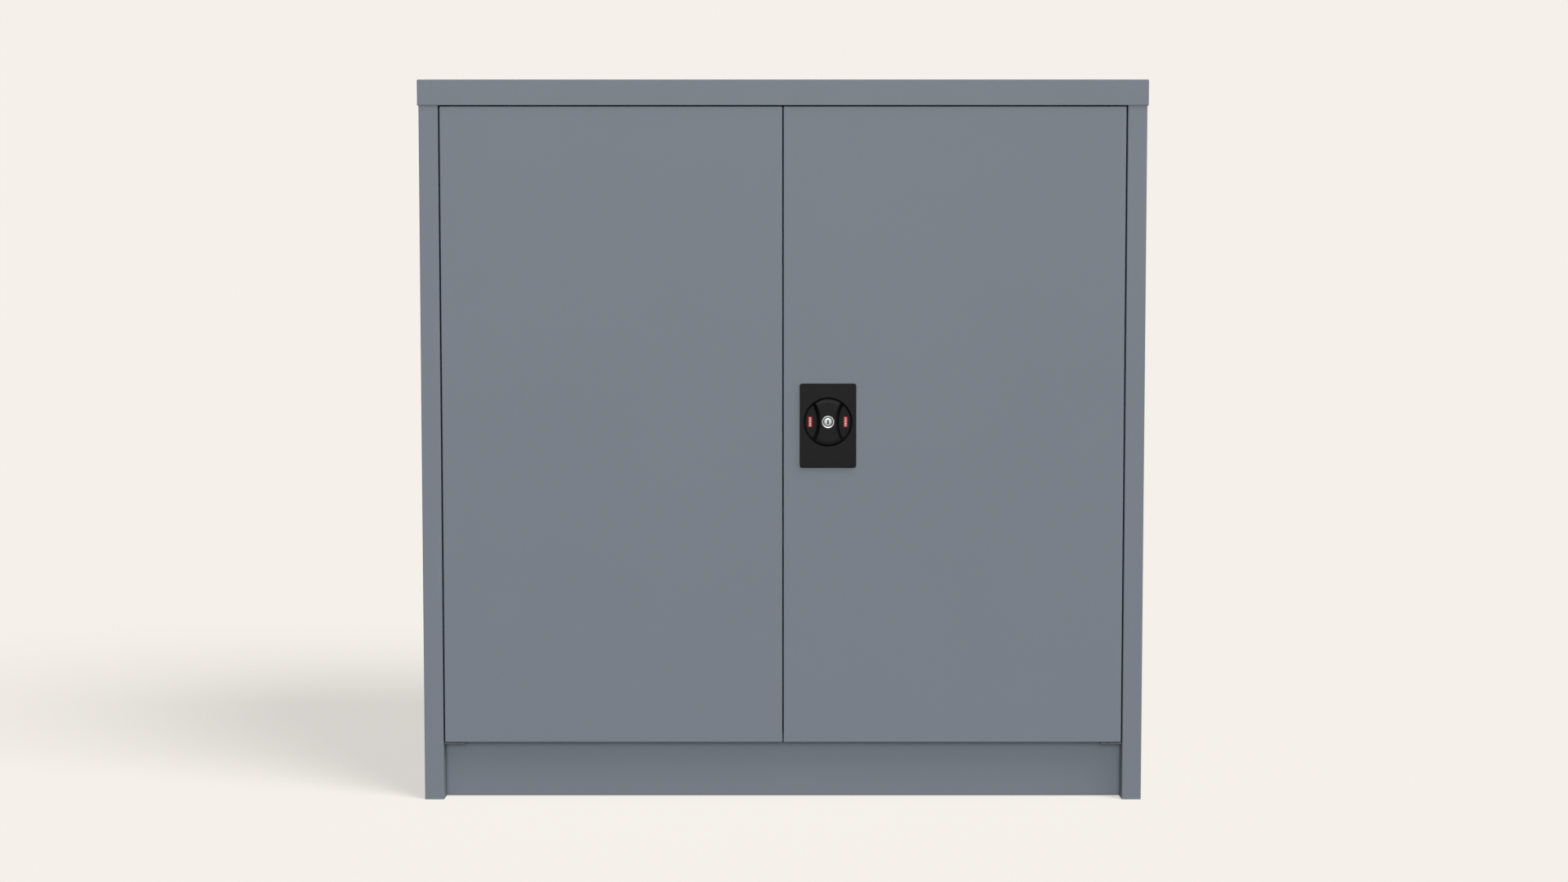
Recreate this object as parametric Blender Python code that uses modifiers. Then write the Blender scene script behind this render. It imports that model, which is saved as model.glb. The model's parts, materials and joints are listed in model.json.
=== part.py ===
"""Low two-door steel storage cupboard with a turn-dial lock, two shelves and levelling feet.

Frame: X runs to the right as seen from the front, +Z is up, and the doors face -Y.
The origin is on the floor, in the middle of the whole outline.
All lengths are in metres.
"""

import math

import bmesh
import bpy

# Carcass
CAP_WIDTH = 0.900
CAP_DEPTH = 0.450
CABINET_HEIGHT = 0.895
CAP_HEIGHT = 0.0315
CAP_OVERHANG = 0.0015
SHEET = 0.0009
BEND_RADIUS = 0.0015
SEAT_GAP = 0.0003
CUT_OVERRUN = 0.010

# Side panels
POST_WIDTH = 0.024
POST_DEPTH = 0.030
REAR_FLANGE = 0.020

# Back panel and its two pressed ribs
BACK_FOOT_GAP = 0.002
RIB_WIDTH = 0.040
RIB_HEIGHT = 0.003
RIB_SLOPE = 0.006
RIB_SPACING = 0.300

# Plinth, floor and the rail that the doors close against
PLINTH_RECESS = 0.0185
PLINTH_FOOT_GAP = 0.001
PLINTH_LIP = 0.012
PLINTH_TOP_FLANGE = 0.015
FLOOR_DROP = 0.022
FLOOR_BACK_GAP = 0.003
STOP_CLEARANCE = 0.0018
STOP_RAIL_HEIGHT = 0.0096
STOP_RAIL_FOOT = 0.018
STOP_END_SETBACK = 0.026

# Header rail above the doors
HEADER_FRONT_FLANGE = 0.018
HEADER_LIP = 0.0106
HEADER_GAP = 0.0002

# Doors
DOOR_BOTTOM = 0.0722
DOOR_THICKNESS = 0.018
DOOR_TOP_GAP = 0.0014
DOOR_SIDE_GAP = 0.0017
DOOR_MIDDLE_GAP = 0.0014
DOOR_FLOOR_GAP = 0.0017
DOOR_FLANGE = 0.020
STIFFENER_WIDTH = 0.060
STIFFENER_DEPTH = 0.014
STIFFENER_FOOT = 0.014
STIFFENER_END_GAP = 0.032

# Pivot hinges at the doors' outer corners
PIVOT_FROM_EDGE = 0.016
PIVOT_FROM_FRONT = 0.008
PIVOT_RADIUS = 0.003
PIVOT_CLEARANCE = 0.0003
PIVOT_REACH = 0.006
PIVOT_HEAD_RADIUS = 0.0055
PIVOT_HEAD_HEIGHT = 0.0015
WASHER_RADIUS = 0.006
WASHER_THICKNESS = 0.0006
BRACKET_THICKNESS = 0.0016
BRACKET_MARGIN = 0.0045
BRACKET_LENGTH = 0.026

# Rubber buffers on the stops
BUFFER_RADIUS = 0.0035
BUFFER_THICKNESS = 0.0012
BUFFER_FROM_MIDDLE = 0.110

# Shelf uprights
UPRIGHT_WIDTH = 0.026
UPRIGHT_DEPTH = 0.007
UPRIGHT_FOOT = 0.008
UPRIGHT_FRONT_INSET = 0.075
UPRIGHT_REAR_INSET = 0.060
UPRIGHT_END_GAP = 0.020
SLOT_WIDTH = 0.012
SLOT_HEIGHT = 0.0035
SLOT_PITCH = 0.032
FIRST_SLOT = 0.060

# Shelves and their clips
SHELF_SLOTS = (6, 15)
SHELF_SIDE_GAP = 0.0025
SHELF_FRONT_INSET = 0.042
SHELF_BACK_GAP = 0.012
SHELF_DROP = 0.024
SHELF_LIP = 0.012
CLIP_SHEET = 0.0015
CLIP_WIDTH = 0.010
CLIP_HEIGHT = 0.014
CLIP_LEDGE = 0.012
CLIP_HOOK = 0.004

# Levelling feet
FOOT_PAD_RADIUS = 0.016
FOOT_PAD_HEIGHT = 0.006
FOOT_PAD_NECK = 0.004
FOOT_STUD_RADIUS = 0.004
FOOT_STUD_LENGTH = 0.040
FOOT_REST_GAP = 0.001
FOOT_SIDE_INSET = 0.034
FOOT_FRONT_INSET = 0.062
FOOT_REAR_INSET = 0.045
FOOT_PLATE_HEIGHT = 0.026
FOOT_PLATE_THICKNESS = 0.0025
FOOT_PLATE_LENGTH = 0.040
FOOT_PLATE_RISE = 0.022
NUT_RADIUS = 0.0085
NUT_HEIGHT = 0.007

# Lock plate on the right-hand door
DIAL_X = 0.0558
DIAL_HEIGHT = 0.4735
PLATE_WIDTH = 0.070
PLATE_HEIGHT = 0.1045
PLATE_DROP = 0.0045
PLATE_PROUD = 0.003
PLATE_CORNER = 0.003
PLATE_EDGE = 0.0008
CUP_RADIUS = 0.0320
CUP_BORE = 0.0302
CUP_DEPTH = 0.0132
CUP_FLOOR = 0.0015
CUP_HOLE_CLEARANCE = 0.0006
LOCK_CASE_WIDTH = 0.056
LOCK_CASE_HEIGHT = 0.076
LOCK_CASE_THICKNESS = 0.0042
LOCK_CASE_EDGE = 0.0012

# Turning dial with its grip bar
DIAL_RADIUS = 0.0286
DIAL_EDGE = 0.0010
DIAL_BACK = 0.0080
GRIP_PROUD = 0.001
GRIP_WAIST = 0.0095
GRIP_SCOOP_RADIUS = 0.059
GRIP_DRAFT = 0.003
POCKET_DEPTH = 0.0075
LABEL_WIDTH = 0.005
LABEL_HEIGHT = 0.013
LABEL_THICKNESS = 0.0006
LABEL_OFFSET = 0.022
SPINDLE_RADIUS = 0.0080
SPINDLE_CLEARANCE = 0.0004
SQUARE_SIDE = 0.006
SQUARE_ROOT = 0.003

# Key cylinder
SLEEVE_RADIUS = 0.00785
SLEEVE_LIP = 0.0004
SLEEVE_LENGTH = 0.006
PLUG_RADIUS = 0.0052
PLUG_LENGTH = 0.0122
PLUG_TAIL_RADIUS = 0.003
PLUG_TAIL_LENGTH = 0.0030
KEYHOLE_WIDTH = 0.0012
KEYHOLE_HEIGHT = 0.0045
KEYHOLE_DEPTH = 0.008
PAWL_THICKNESS = 0.0022
PAWL_WIDTH = 0.004
PAWL_REACH = 0.0135
PAWL_HUB_RADIUS = 0.0050
POST_RADIUS_IN = 0.0108
POST_BLOCK_WIDTH = 0.003
POST_BLOCK_LENGTH = 0.0045
POST_BLOCK_GAP = 0.0006
WINDOW_MARGIN = 0.002

# Cam, its screw and the two locking rods
CAM_GAP = 0.0006
CAM_THICKNESS = 0.0024
CAM_RADIUS = 0.0190
CAM_ARM_WIDTH = 0.012
CAM_ARM_THICKNESS = 0.0020
CAM_ARM_LENGTH = 0.068
CRANK_RADIUS = 0.0155
CRANK_ANGLE = math.radians(45)
CRANK_PIN_RADIUS = 0.0025
CRANK_PIN_LENGTH = 0.0046
CAM_SCREW_RADIUS = 0.0021
CAM_SCREW_LENGTH = 0.006
CAM_SCREW_HEAD_RADIUS = 0.0044
CAM_SCREW_HEAD_HEIGHT = 0.0022
ROD_WIDTH = 0.008
ROD_THICKNESS = 0.003
ROD_GAP = 0.0006
ROD_TIP_TAPER = 0.0025
ROD_TIP_LENGTH = 0.006
ROD_TOP_MARGIN = 0.0025
YOKE_WIDTH = 0.0165
YOKE_HEIGHT = 0.0150
YOKE_CLEARANCE = 0.0008
YOKE_END_CLEARANCE = 0.0008
GUIDE_WIDTH = 0.020
GUIDE_HEIGHT = 0.0075
GUIDE_WALL = 0.0015
GUIDE_CLEARANCE = 0.0004
FLOOR_SLOT_MARGIN = 0.002

# Facets
BEND_STEPS = 2
ROUND_STEPS = 24
FINE_STEPS = 48
SCOOP_STEPS = 96
SMALL_STEPS = 16
SMOOTH_ANGLE = math.radians(35)
MERGE_DISTANCE = 0.00001

# Places worked out from the sizes above
lock_stand_out = PLATE_PROUD + GRIP_PROUD + SLEEVE_LIP
whole_depth = CAP_DEPTH - CAP_OVERHANG + lock_stand_out
cap_back_y = whole_depth / 2
cap_front_y = cap_back_y - CAP_DEPTH
front_y = cap_front_y + CAP_OVERHANG
back_y = cap_back_y - CAP_OVERHANG
side_x = CAP_WIDTH / 2 - CAP_OVERHANG
post_x = side_x - POST_WIDTH
wall_x = side_x - SHEET - SEAT_GAP
cap_bottom = CABINET_HEIGHT - CAP_HEIGHT
walls_top = CABINET_HEIGHT - SHEET - SEAT_GAP
door_top = cap_bottom - DOOR_TOP_GAP
door_edge_x = post_x - DOOR_SIDE_GAP
door_back_y = front_y + DOOR_THICKNESS
pivot_x = door_edge_x - PIVOT_FROM_EDGE
pivot_y = front_y + PIVOT_FROM_FRONT
floor_top = DOOR_BOTTOM - DOOR_FLOOR_GAP
plinth_y = front_y + PLINTH_RECESS
stop_y = door_back_y + STOP_CLEARANCE
stop_end_x = pivot_x - STOP_END_SETBACK
header_web_bottom = cap_bottom + HEADER_GAP
header_lip_bottom = header_web_bottom - HEADER_LIP
stop_rail_bottom = floor_top + SEAT_GAP
stop_rail_top = stop_rail_bottom + STOP_RAIL_HEIGHT
back_inner_y = back_y - 2 * SHEET - SEAT_GAP
cam_front_y = door_back_y + CAM_GAP
cam_back_y = cam_front_y + CAM_THICKNESS
rod_front_y = cam_back_y + ROD_GAP
rod_middle_y = rod_front_y + ROD_THICKNESS / 2
spindle_end = cam_front_y - front_y - SEAT_GAP
square_end = cam_back_y - front_y - SEAT_GAP
crank_side = CRANK_RADIUS * math.cos(CRANK_ANGLE)
rod_offset = (crank_side + CRANK_RADIUS) / 2
upper_rod_x = DIAL_X + rod_offset
lower_rod_x = DIAL_X - rod_offset

parts = None
cutters = None
finishes = {}


def clear_scene():
    for item in list(bpy.data.objects):
        bpy.data.objects.remove(item, do_unlink=True)


def new_collection(name):
    made = bpy.data.collections.new(name)
    bpy.context.scene.collection.children.link(made)
    return made


def finish(name, colour, roughness, metallic):
    """One Principled material; the colour is written as sRGB shares and turned to linear."""
    made = bpy.data.materials.new(name)
    made.use_nodes = True
    shader = made.node_tree.nodes["Principled BSDF"]
    linear = [((value + 0.055) / 1.055) ** 2.4 for value in colour]
    shader.inputs["Base Color"].default_value = (*linear, 1)
    shader.inputs["Roughness"].default_value = roughness
    shader.inputs["Metallic"].default_value = metallic
    finishes[name] = made


def make_finishes():
    finish("grey powder coat", (0.475, 0.502, 0.533), 0.55, 0.0)
    finish("black moulded plastic", (0.11, 0.11, 0.115), 0.38, 0.0)
    finish("red label plastic", (0.72, 0.16, 0.15), 0.45, 0.0)
    finish("chromed zinc", (0.80, 0.81, 0.82), 0.18, 1.0)
    finish("zinc-plated steel", (0.66, 0.67, 0.68), 0.35, 1.0)
    finish("white nylon", (0.86, 0.86, 0.84), 0.45, 0.0)
    finish("black rubber", (0.08, 0.08, 0.085), 0.75, 0.0)


def add_object(name, mesh, finish_name):
    """Links a mesh as a part, or as a hidden helper where no finish is named."""
    item = bpy.data.objects.new(name, mesh)
    if finish_name:
        parts.objects.link(item)
        mesh.materials.append(finishes[finish_name])
        mesh.shade_smooth()
        mesh.set_sharp_from_angle(angle=SMOOTH_ANGLE)
    else:
        cutters.objects.link(item)
        item.hide_render = True
        item.display_type = "WIRE"
    return item


def mesh_from(bm, name):
    mesh = bpy.data.meshes.new(name)
    bm.to_mesh(mesh)
    bm.free()
    return mesh


def boolean(item, tool, operation):
    step = item.modifiers.new(operation.lower() + " " + tool.name, "BOOLEAN")
    step.operation = operation
    step.solver = "EXACT"
    step.object = tool


def cut(item, tool):
    boolean(item, tool, "DIFFERENCE")


def fuse(item, tool):
    boolean(item, tool, "UNION")


def carry(items, holder):
    """Parents pieces and their cutters to an empty on their joint's axis, without moving them."""
    bpy.context.view_layer.update()
    tools = [step.object for item in items for step in item.modifiers if step.type == "BOOLEAN"]
    for item in items + tools:
        item.parent = holder
        item.matrix_parent_inverse = holder.matrix_world.inverted()


def joint_empty(name, x, y, z):
    empty = bpy.data.objects.new(name, None)
    parts.objects.link(empty)
    empty.location = (x, y, z)
    empty.empty_display_size = PIVOT_FROM_EDGE
    return empty


def block(name, low, high, finish_name=None, edge=0.0, upright_edges_only=False):
    """A box between two corners, its edges rounded where edge is given."""
    bm = bmesh.new()
    bmesh.ops.create_cube(bm, size=1)
    size = [b - a for a, b in zip(low, high)]
    middle = [(a + b) / 2 for a, b in zip(low, high)]
    bmesh.ops.scale(bm, vec=size, verts=bm.verts)
    if edge:
        chosen = bm.edges[:]
        if upright_edges_only:
            chosen = [e for e in bm.edges
                      if abs(e.verts[0].co.z - e.verts[1].co.z) > MERGE_DISTANCE]
        bmesh.ops.bevel(bm, geom=chosen, offset=edge, segments=BEND_STEPS, profile=0.5,
                        affect="EDGES", material=-1)
    bmesh.ops.translate(bm, vec=middle, verts=bm.verts)
    return add_object(name, mesh_from(bm, name), finish_name)


def rod_solid(name, radius, low, high, finish_name=None, steps=ROUND_STEPS, tip=None):
    """A round bar, or a cone where tip is given, along local Z from low to high."""
    bm = bmesh.new()
    bmesh.ops.create_cone(bm, cap_ends=True, segments=steps, radius1=radius,
                          radius2=radius if tip is None else tip, depth=high - low)
    bmesh.ops.translate(bm, vec=(0, 0, (low + high) / 2), verts=bm.verts)
    return add_object(name, mesh_from(bm, name), finish_name)


def turned(name, profile, finish_name, steps=ROUND_STEPS, closed=False):
    """A profile of (radius, height) points, outer side top to bottom, turned about local Z."""
    bm = bmesh.new()
    points = [bm.verts.new((radius, 0, height)) for radius, height in profile]
    for first, second in zip(points, points[1:]):
        bm.edges.new((first, second))
    if closed:
        bm.edges.new((points[-1], points[0]))
    item = add_object(name, mesh_from(bm, name), finish_name)
    screw = item.modifiers.new("turn", "SCREW")
    screw.steps = steps
    screw.render_steps = steps
    screw.use_merge_vertices = True
    screw.merge_threshold = MERGE_DISTANCE
    return item


def face_front(items, x, y, z):
    """Stands pieces made flat (X right, Y up, Z towards the viewer) upright at a place."""
    for item in items:
        item.rotation_euler = (math.radians(90), 0, 0)
        item.location = (x, y, z)


def solidify(item, thickness):
    step = item.modifiers.new("sheet thickness", "SOLIDIFY")
    step.thickness = thickness
    step.offset = -1
    step.use_even_offset = True


def folded_sheet(name, path, axis, low, high, finish_name, thickness=SHEET, radius=BEND_RADIUS):
    """A bent strip: the path is swept along an axis, and the sheet lies on its left.

    The path's two coordinates are X, Y for axis Z; Y, Z for axis X; and Z, X for axis Y.
    """
    places = {
        "Z": lambda a, b, along: (a, b, along),
        "X": lambda a, b, along: (along, a, b),
        "Y": lambda a, b, along: (b, along, a),
    }
    place = places[axis]
    bm = bmesh.new()
    verts = [bm.verts.new(place(a, b, low)) for a, b in path]
    edges = [bm.edges.new(pair) for pair in zip(verts, verts[1:])]
    swept = bmesh.ops.extrude_edge_only(bm, edges=edges)["geom"]
    moved = [item for item in swept if isinstance(item, bmesh.types.BMVert)]
    bmesh.ops.translate(bm, vec=place(0, 0, high - low), verts=moved)
    bm.normal_update()
    run = verts[1].co - verts[0].co
    sweep = moved[0].co - verts[0].co
    wanted = run.cross(sweep)
    first_face = edges[0].link_faces[0]
    if first_face.normal.dot(wanted) < 0:
        bmesh.ops.reverse_faces(bm, faces=bm.faces)
    folds = [e for e in bm.edges if len(e.link_faces) == 2]
    if folds and radius:
        bmesh.ops.bevel(bm, geom=folds, offset=radius, segments=BEND_STEPS, profile=0.5,
                        affect="EDGES", material=-1)
    item = add_object(name, mesh_from(bm, name), finish_name)
    solidify(item, thickness)
    return item


def pan(name, width, height, depth, flange, finish_name, radius=BEND_RADIUS):
    """A folded tray: its face is in local XY and looks along +Z, its returns run down to -Z."""
    bm = bmesh.new()
    bmesh.ops.create_grid(bm, x_segments=1, y_segments=1, size=0.5)
    bmesh.ops.scale(bm, vec=(width, height, 1), verts=bm.verts)
    rings = 2 if flange else 1
    for ring in range(rings):
        rim = [e for e in bm.edges if e.is_boundary]
        grown = bmesh.ops.extrude_edge_only(bm, edges=rim)["geom"]
        moved = [item for item in grown if isinstance(item, bmesh.types.BMVert)]
        if ring == 0:
            bmesh.ops.translate(bm, vec=(0, 0, -depth), verts=moved)
        else:
            shrink = (1 - 2 * flange / width, 1 - 2 * flange / height, 1)
            bmesh.ops.scale(bm, vec=shrink, verts=moved)
    bmesh.ops.recalc_face_normals(bm, faces=bm.faces)
    top = max(bm.faces, key=lambda face: face.calc_center_median().z)
    if top.normal.z < 0:
        bmesh.ops.reverse_faces(bm, faces=bm.faces)
    if radius:
        folds = [e for e in bm.edges if len(e.link_faces) == 2
                 and abs(e.verts[0].co.z - e.verts[1].co.z) < MERGE_DISTANCE]
        mitres = [e for e in folds if abs(e.verts[0].co.x - e.verts[1].co.x) > MERGE_DISTANCE
                  and abs(e.verts[0].co.y - e.verts[1].co.y) > MERGE_DISTANCE]
        folds = [e for e in folds if e not in mitres]
        bmesh.ops.bevel(bm, geom=folds, offset=radius, segments=BEND_STEPS, profile=0.5,
                        affect="EDGES", material=-1)
    item = add_object(name, mesh_from(bm, name), finish_name)
    solidify(item, SHEET)
    return item


def outline_plate(name, loops, thickness, finish_name):
    """A flat plate from closed loops of (x, y) points, centred on local Z."""
    flat = bpy.data.curves.new(name, "CURVE")
    flat.dimensions = "2D"
    flat.fill_mode = "BOTH"
    flat.extrude = thickness / 2
    for loop in loops:
        spline = flat.splines.new("POLY")
        spline.points.add(len(loop) - 1)
        for point, (x, y) in zip(spline.points, loop):
            point.co = (x, y, 0, 1)
        spline.use_cyclic_u = True
    item = bpy.data.objects.new(name, flat)
    parts.objects.link(item)
    flat.materials.append(finishes[finish_name])
    return item


def build_side(word, sign):
    """Outer wall, front post folded round to a return, and a rear flange."""
    path = [
        (sign * post_x, front_y + POST_DEPTH),
        (sign * post_x, front_y),
        (sign * side_x, front_y),
        (sign * side_x, back_y),
        (sign * (side_x - REAR_FLANGE), back_y),
    ]
    if sign < 0:
        path.reverse()
    folded_sheet(word + "_side_panel", path, "Z", 0, walls_top, "grey powder coat")


def build_back():
    """Flat sheet inside the rear flanges, stiffened by two shallow pressed ribs."""
    outer_y = back_y - SHEET - SEAT_GAP
    path = [(wall_x, outer_y)]
    for middle in (RIB_SPACING / 2, -RIB_SPACING / 2):
        half = RIB_WIDTH / 2
        path += [
            (middle + half + RIB_SLOPE, outer_y),
            (middle + half, outer_y - RIB_HEIGHT),
            (middle - half, outer_y - RIB_HEIGHT),
            (middle - half - RIB_SLOPE, outer_y),
        ]
    path.append((-wall_x, outer_y))
    folded_sheet("back_panel", path, "Z", BACK_FOOT_GAP, walls_top, "grey powder coat", radius=0)


def build_cap():
    """Shallow tray, open below, that drops over the tops of the walls."""
    cap = pan("top_cap", CAP_WIDTH, CAP_DEPTH, CAP_HEIGHT, 0, "grey powder coat")
    cap.location = (0, (cap_front_y + cap_back_y) / 2, CABINET_HEIGHT)


def stop_notch(name, sign, low_z, high_z, low_y, high_y):
    """Helper that clears a stop away where the hinge corner of a door swings back."""
    far = post_x + CUT_OVERRUN
    x_pair = sorted((sign * stop_end_x, sign * far))
    return block(name, (x_pair[0], low_y, low_z), (x_pair[1], high_y, high_z))


def upright_hole(name, radius, x, y, low, high):
    tool = rod_solid(name, radius, low, high)
    tool.location = (x, y, 0)
    return tool


def build_header():
    """Rail over the doors: flange behind the cap's skirt, web, and a lip that stops the doors."""
    flange_y = cap_front_y + SHEET + SEAT_GAP
    path = [
        (flange_y, header_web_bottom + HEADER_FRONT_FLANGE),
        (flange_y, header_web_bottom),
        (stop_y, header_web_bottom),
        (stop_y, header_lip_bottom),
    ]
    span = post_x - SEAT_GAP
    header = folded_sheet("header_rail", path, "X", -span, span, "grey powder coat")
    for word, sign in (("left", -1), ("right", 1)):
        notch = stop_notch("header notch " + word, sign, header_lip_bottom - CUT_OVERRUN,
                           header_web_bottom - SEAT_GAP, pivot_y, stop_y + CUT_OVERRUN)
        cut(header, notch)
        hole = upright_hole("header pivot hole " + word, PIVOT_RADIUS + PIVOT_CLEARANCE,
                            sign * pivot_x, pivot_y, header_web_bottom - CUT_OVERRUN,
                            header_web_bottom + CUT_OVERRUN)
        cut(header, hole)


def build_floor():
    """Bottom shelf: it lies on the plinth, is folded down behind and notched round the posts."""
    rear = back_inner_y - FLOOR_BACK_GAP
    path = [
        (rear, floor_top - FLOOR_DROP),
        (rear, floor_top),
        (plinth_y, floor_top),
    ]
    floor = folded_sheet("floor_panel", path, "X", -wall_x, wall_x, "grey powder coat")
    for word, sign in (("left", -1), ("right", 1)):
        x_pair = sorted((sign * (post_x - SEAT_GAP), sign * (wall_x + CUT_OVERRUN)))
        notch = block("floor notch " + word, (x_pair[0], front_y, 0),
                      (x_pair[1], front_y + POST_DEPTH + SEAT_GAP, floor_top + CUT_OVERRUN))
        cut(floor, notch)
    return floor


def build_plinth():
    """Recessed kick plate between the posts, folded back at top and bottom."""
    top = floor_top - SHEET - SEAT_GAP
    path = [
        (plinth_y + PLINTH_TOP_FLANGE, top),
        (plinth_y, top),
        (plinth_y, PLINTH_FOOT_GAP),
        (plinth_y + PLINTH_LIP, PLINTH_FOOT_GAP),
    ]
    span = post_x - SEAT_GAP
    return folded_sheet("plinth", path, "X", -span, span, "grey powder coat")


def build_stop_rail(floor, plinth):
    """Angle on the floor that the doors close against; the lower rod's slot goes through."""
    path = [
        (stop_y, stop_rail_top),
        (stop_y, stop_rail_bottom),
        (stop_y + STOP_RAIL_FOOT, stop_rail_bottom),
    ]
    rail = folded_sheet("lower_stop_rail", path, "X", -stop_end_x, stop_end_x,
                        "grey powder coat")
    slot = block(
        "lower rod slot",
        (lower_rod_x - ROD_WIDTH / 2 - FLOOR_SLOT_MARGIN, stop_y + SHEET + SEAT_GAP,
         floor_top - CUT_OVERRUN),
        (lower_rod_x + ROD_WIDTH / 2 + FLOOR_SLOT_MARGIN,
         rod_front_y + ROD_THICKNESS + FLOOR_SLOT_MARGIN, floor_top + CUT_OVERRUN / 2),
    )
    for sheet in (rail, floor, plinth):
        cut(sheet, slot)


def build_upright(name, sign, middle_y):
    """Slotted hat-section strip on a side wall; the shelf clips hook into its slots."""
    half = UPRIGHT_WIDTH / 2
    face_x = wall_x - UPRIGHT_DEPTH
    path = [
        (sign * wall_x, middle_y - half - UPRIGHT_FOOT),
        (sign * wall_x, middle_y - half),
        (sign * face_x, middle_y - half),
        (sign * face_x, middle_y + half),
        (sign * wall_x, middle_y + half),
        (sign * wall_x, middle_y + half + UPRIGHT_FOOT),
    ]
    if sign < 0:
        path.reverse()
    low = floor_top + UPRIGHT_END_GAP
    high = cap_bottom - UPRIGHT_END_GAP
    strip = folded_sheet(name, path, "Z", low, high, "grey powder coat", radius=0)
    x_pair = sorted((sign * (face_x - CUT_OVERRUN), sign * (face_x + UPRIGHT_DEPTH / 2)))
    slot_low = floor_top + FIRST_SLOT
    slots = block(name + " slots", (x_pair[0], middle_y - SLOT_WIDTH / 2, slot_low),
                  (x_pair[1], middle_y + SLOT_WIDTH / 2, slot_low + SLOT_HEIGHT))
    row = slots.modifiers.new("slot row", "ARRAY")
    row.count = int((high - SLOT_PITCH / 2 - slot_low) / SLOT_PITCH) + 1
    row.use_relative_offset = False
    row.use_constant_offset = True
    row.constant_offset_displace = (0, 0, SLOT_PITCH)
    cut(strip, slots)


def build_clip(name, sign, middle_y, slot_low):
    """Bent clip: a hook in a slot, a plate down the upright, and a ledge under the shelf."""
    face_x = wall_x - UPRIGHT_DEPTH - SHEET
    plate_x = face_x - SEAT_GAP + SHEET
    hook_z = slot_low + (SLOT_HEIGHT + CLIP_SHEET) / 2
    ledge_z = hook_z - CLIP_HEIGHT
    path = [
        (hook_z, sign * (plate_x - SHEET + CLIP_HOOK)),
        (hook_z, sign * (plate_x - SHEET - CLIP_SHEET)),
        (ledge_z, sign * (plate_x - SHEET - CLIP_SHEET)),
        (ledge_z, sign * (plate_x - SHEET - CLIP_SHEET - CLIP_LEDGE)),
    ]
    if sign > 0:
        path.reverse()
    folded_sheet(name, path, "Y", middle_y - CLIP_WIDTH / 2, middle_y + CLIP_WIDTH / 2,
                 "zinc-plated steel", thickness=CLIP_SHEET, radius=0)


def build_shelf(word, slot_index, front_row, rear_row):
    """Folded shelf resting on four clips, one in each upright."""
    slot_low = floor_top + FIRST_SLOT + slot_index * SLOT_PITCH
    ledge_top = slot_low + (SLOT_HEIGHT + CLIP_SHEET) / 2 - CLIP_HEIGHT
    half_width = wall_x - UPRIGHT_DEPTH - SHEET - SHELF_SIDE_GAP
    low_y = front_y + SHELF_FRONT_INSET
    high_y = back_inner_y - SHELF_BACK_GAP
    tray = pan("shelf_" + word, 2 * half_width, high_y - low_y, SHELF_DROP, SHELF_LIP,
               "grey powder coat")
    tray.location = (0, (low_y + high_y) / 2, ledge_top + SEAT_GAP + SHELF_DROP)
    for side, sign in (("left", -1), ("right", 1)):
        for place, middle_y in (("front", front_row), ("rear", rear_row)):
            name = "shelf_clip_" + word + "_" + place + "_" + side
            build_clip(name, sign, middle_y, slot_low)


def build_foot(name, bracket_name, sign, y):
    """Bracket with a welded nut on the side wall, and the stud with its pad screwed into it."""
    x = sign * (side_x - FOOT_SIDE_INSET)
    plate_top = FOOT_PLATE_HEIGHT
    plate_low = plate_top - FOOT_PLATE_THICKNESS
    path = [
        (plate_low + FOOT_PLATE_RISE, sign * wall_x),
        (plate_low, sign * wall_x),
        (plate_low, x - sign * FOOT_PLATE_LENGTH / 2),
    ]
    if sign < 0:
        path.reverse()
    bracket = folded_sheet(bracket_name, path, "Y", y - FOOT_PLATE_LENGTH / 2,
                           y + FOOT_PLATE_LENGTH / 2, "zinc-plated steel",
                           thickness=FOOT_PLATE_THICKNESS, radius=0)
    nut = rod_solid(bracket_name + " nut", NUT_RADIUS, plate_top - FOOT_PLATE_THICKNESS / 2,
                    plate_top + NUT_HEIGHT, steps=6)
    nut.location = (x, y, 0)
    hole = upright_hole(bracket_name + " hole", FOOT_STUD_RADIUS + SEAT_GAP, x, y, 0,
                        plate_top + NUT_HEIGHT + CUT_OVERRUN)
    fuse(bracket, nut)
    cut(bracket, hole)
    low = FOOT_REST_GAP
    profile = [
        (0, low + FOOT_PAD_HEIGHT + FOOT_STUD_LENGTH),
        (FOOT_STUD_RADIUS, low + FOOT_PAD_HEIGHT + FOOT_STUD_LENGTH),
        (FOOT_STUD_RADIUS, low + FOOT_PAD_HEIGHT),
        (FOOT_PAD_RADIUS - FOOT_PAD_NECK, low + FOOT_PAD_HEIGHT),
        (FOOT_PAD_RADIUS, low + FOOT_PAD_HEIGHT - FOOT_PAD_NECK),
        (FOOT_PAD_RADIUS, low),
        (0, low),
    ]
    foot = turned(name, profile, "zinc-plated steel")
    foot.location = (x, y, 0)


def build_buffer(name, x, z):
    """Rubber disc on the front of a stop."""
    disc = rod_solid(name, BUFFER_RADIUS, 0, BUFFER_THICKNESS, "black rubber",
                     steps=SMALL_STEPS)
    face_front([disc], x, stop_y - SEAT_GAP, z)


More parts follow.
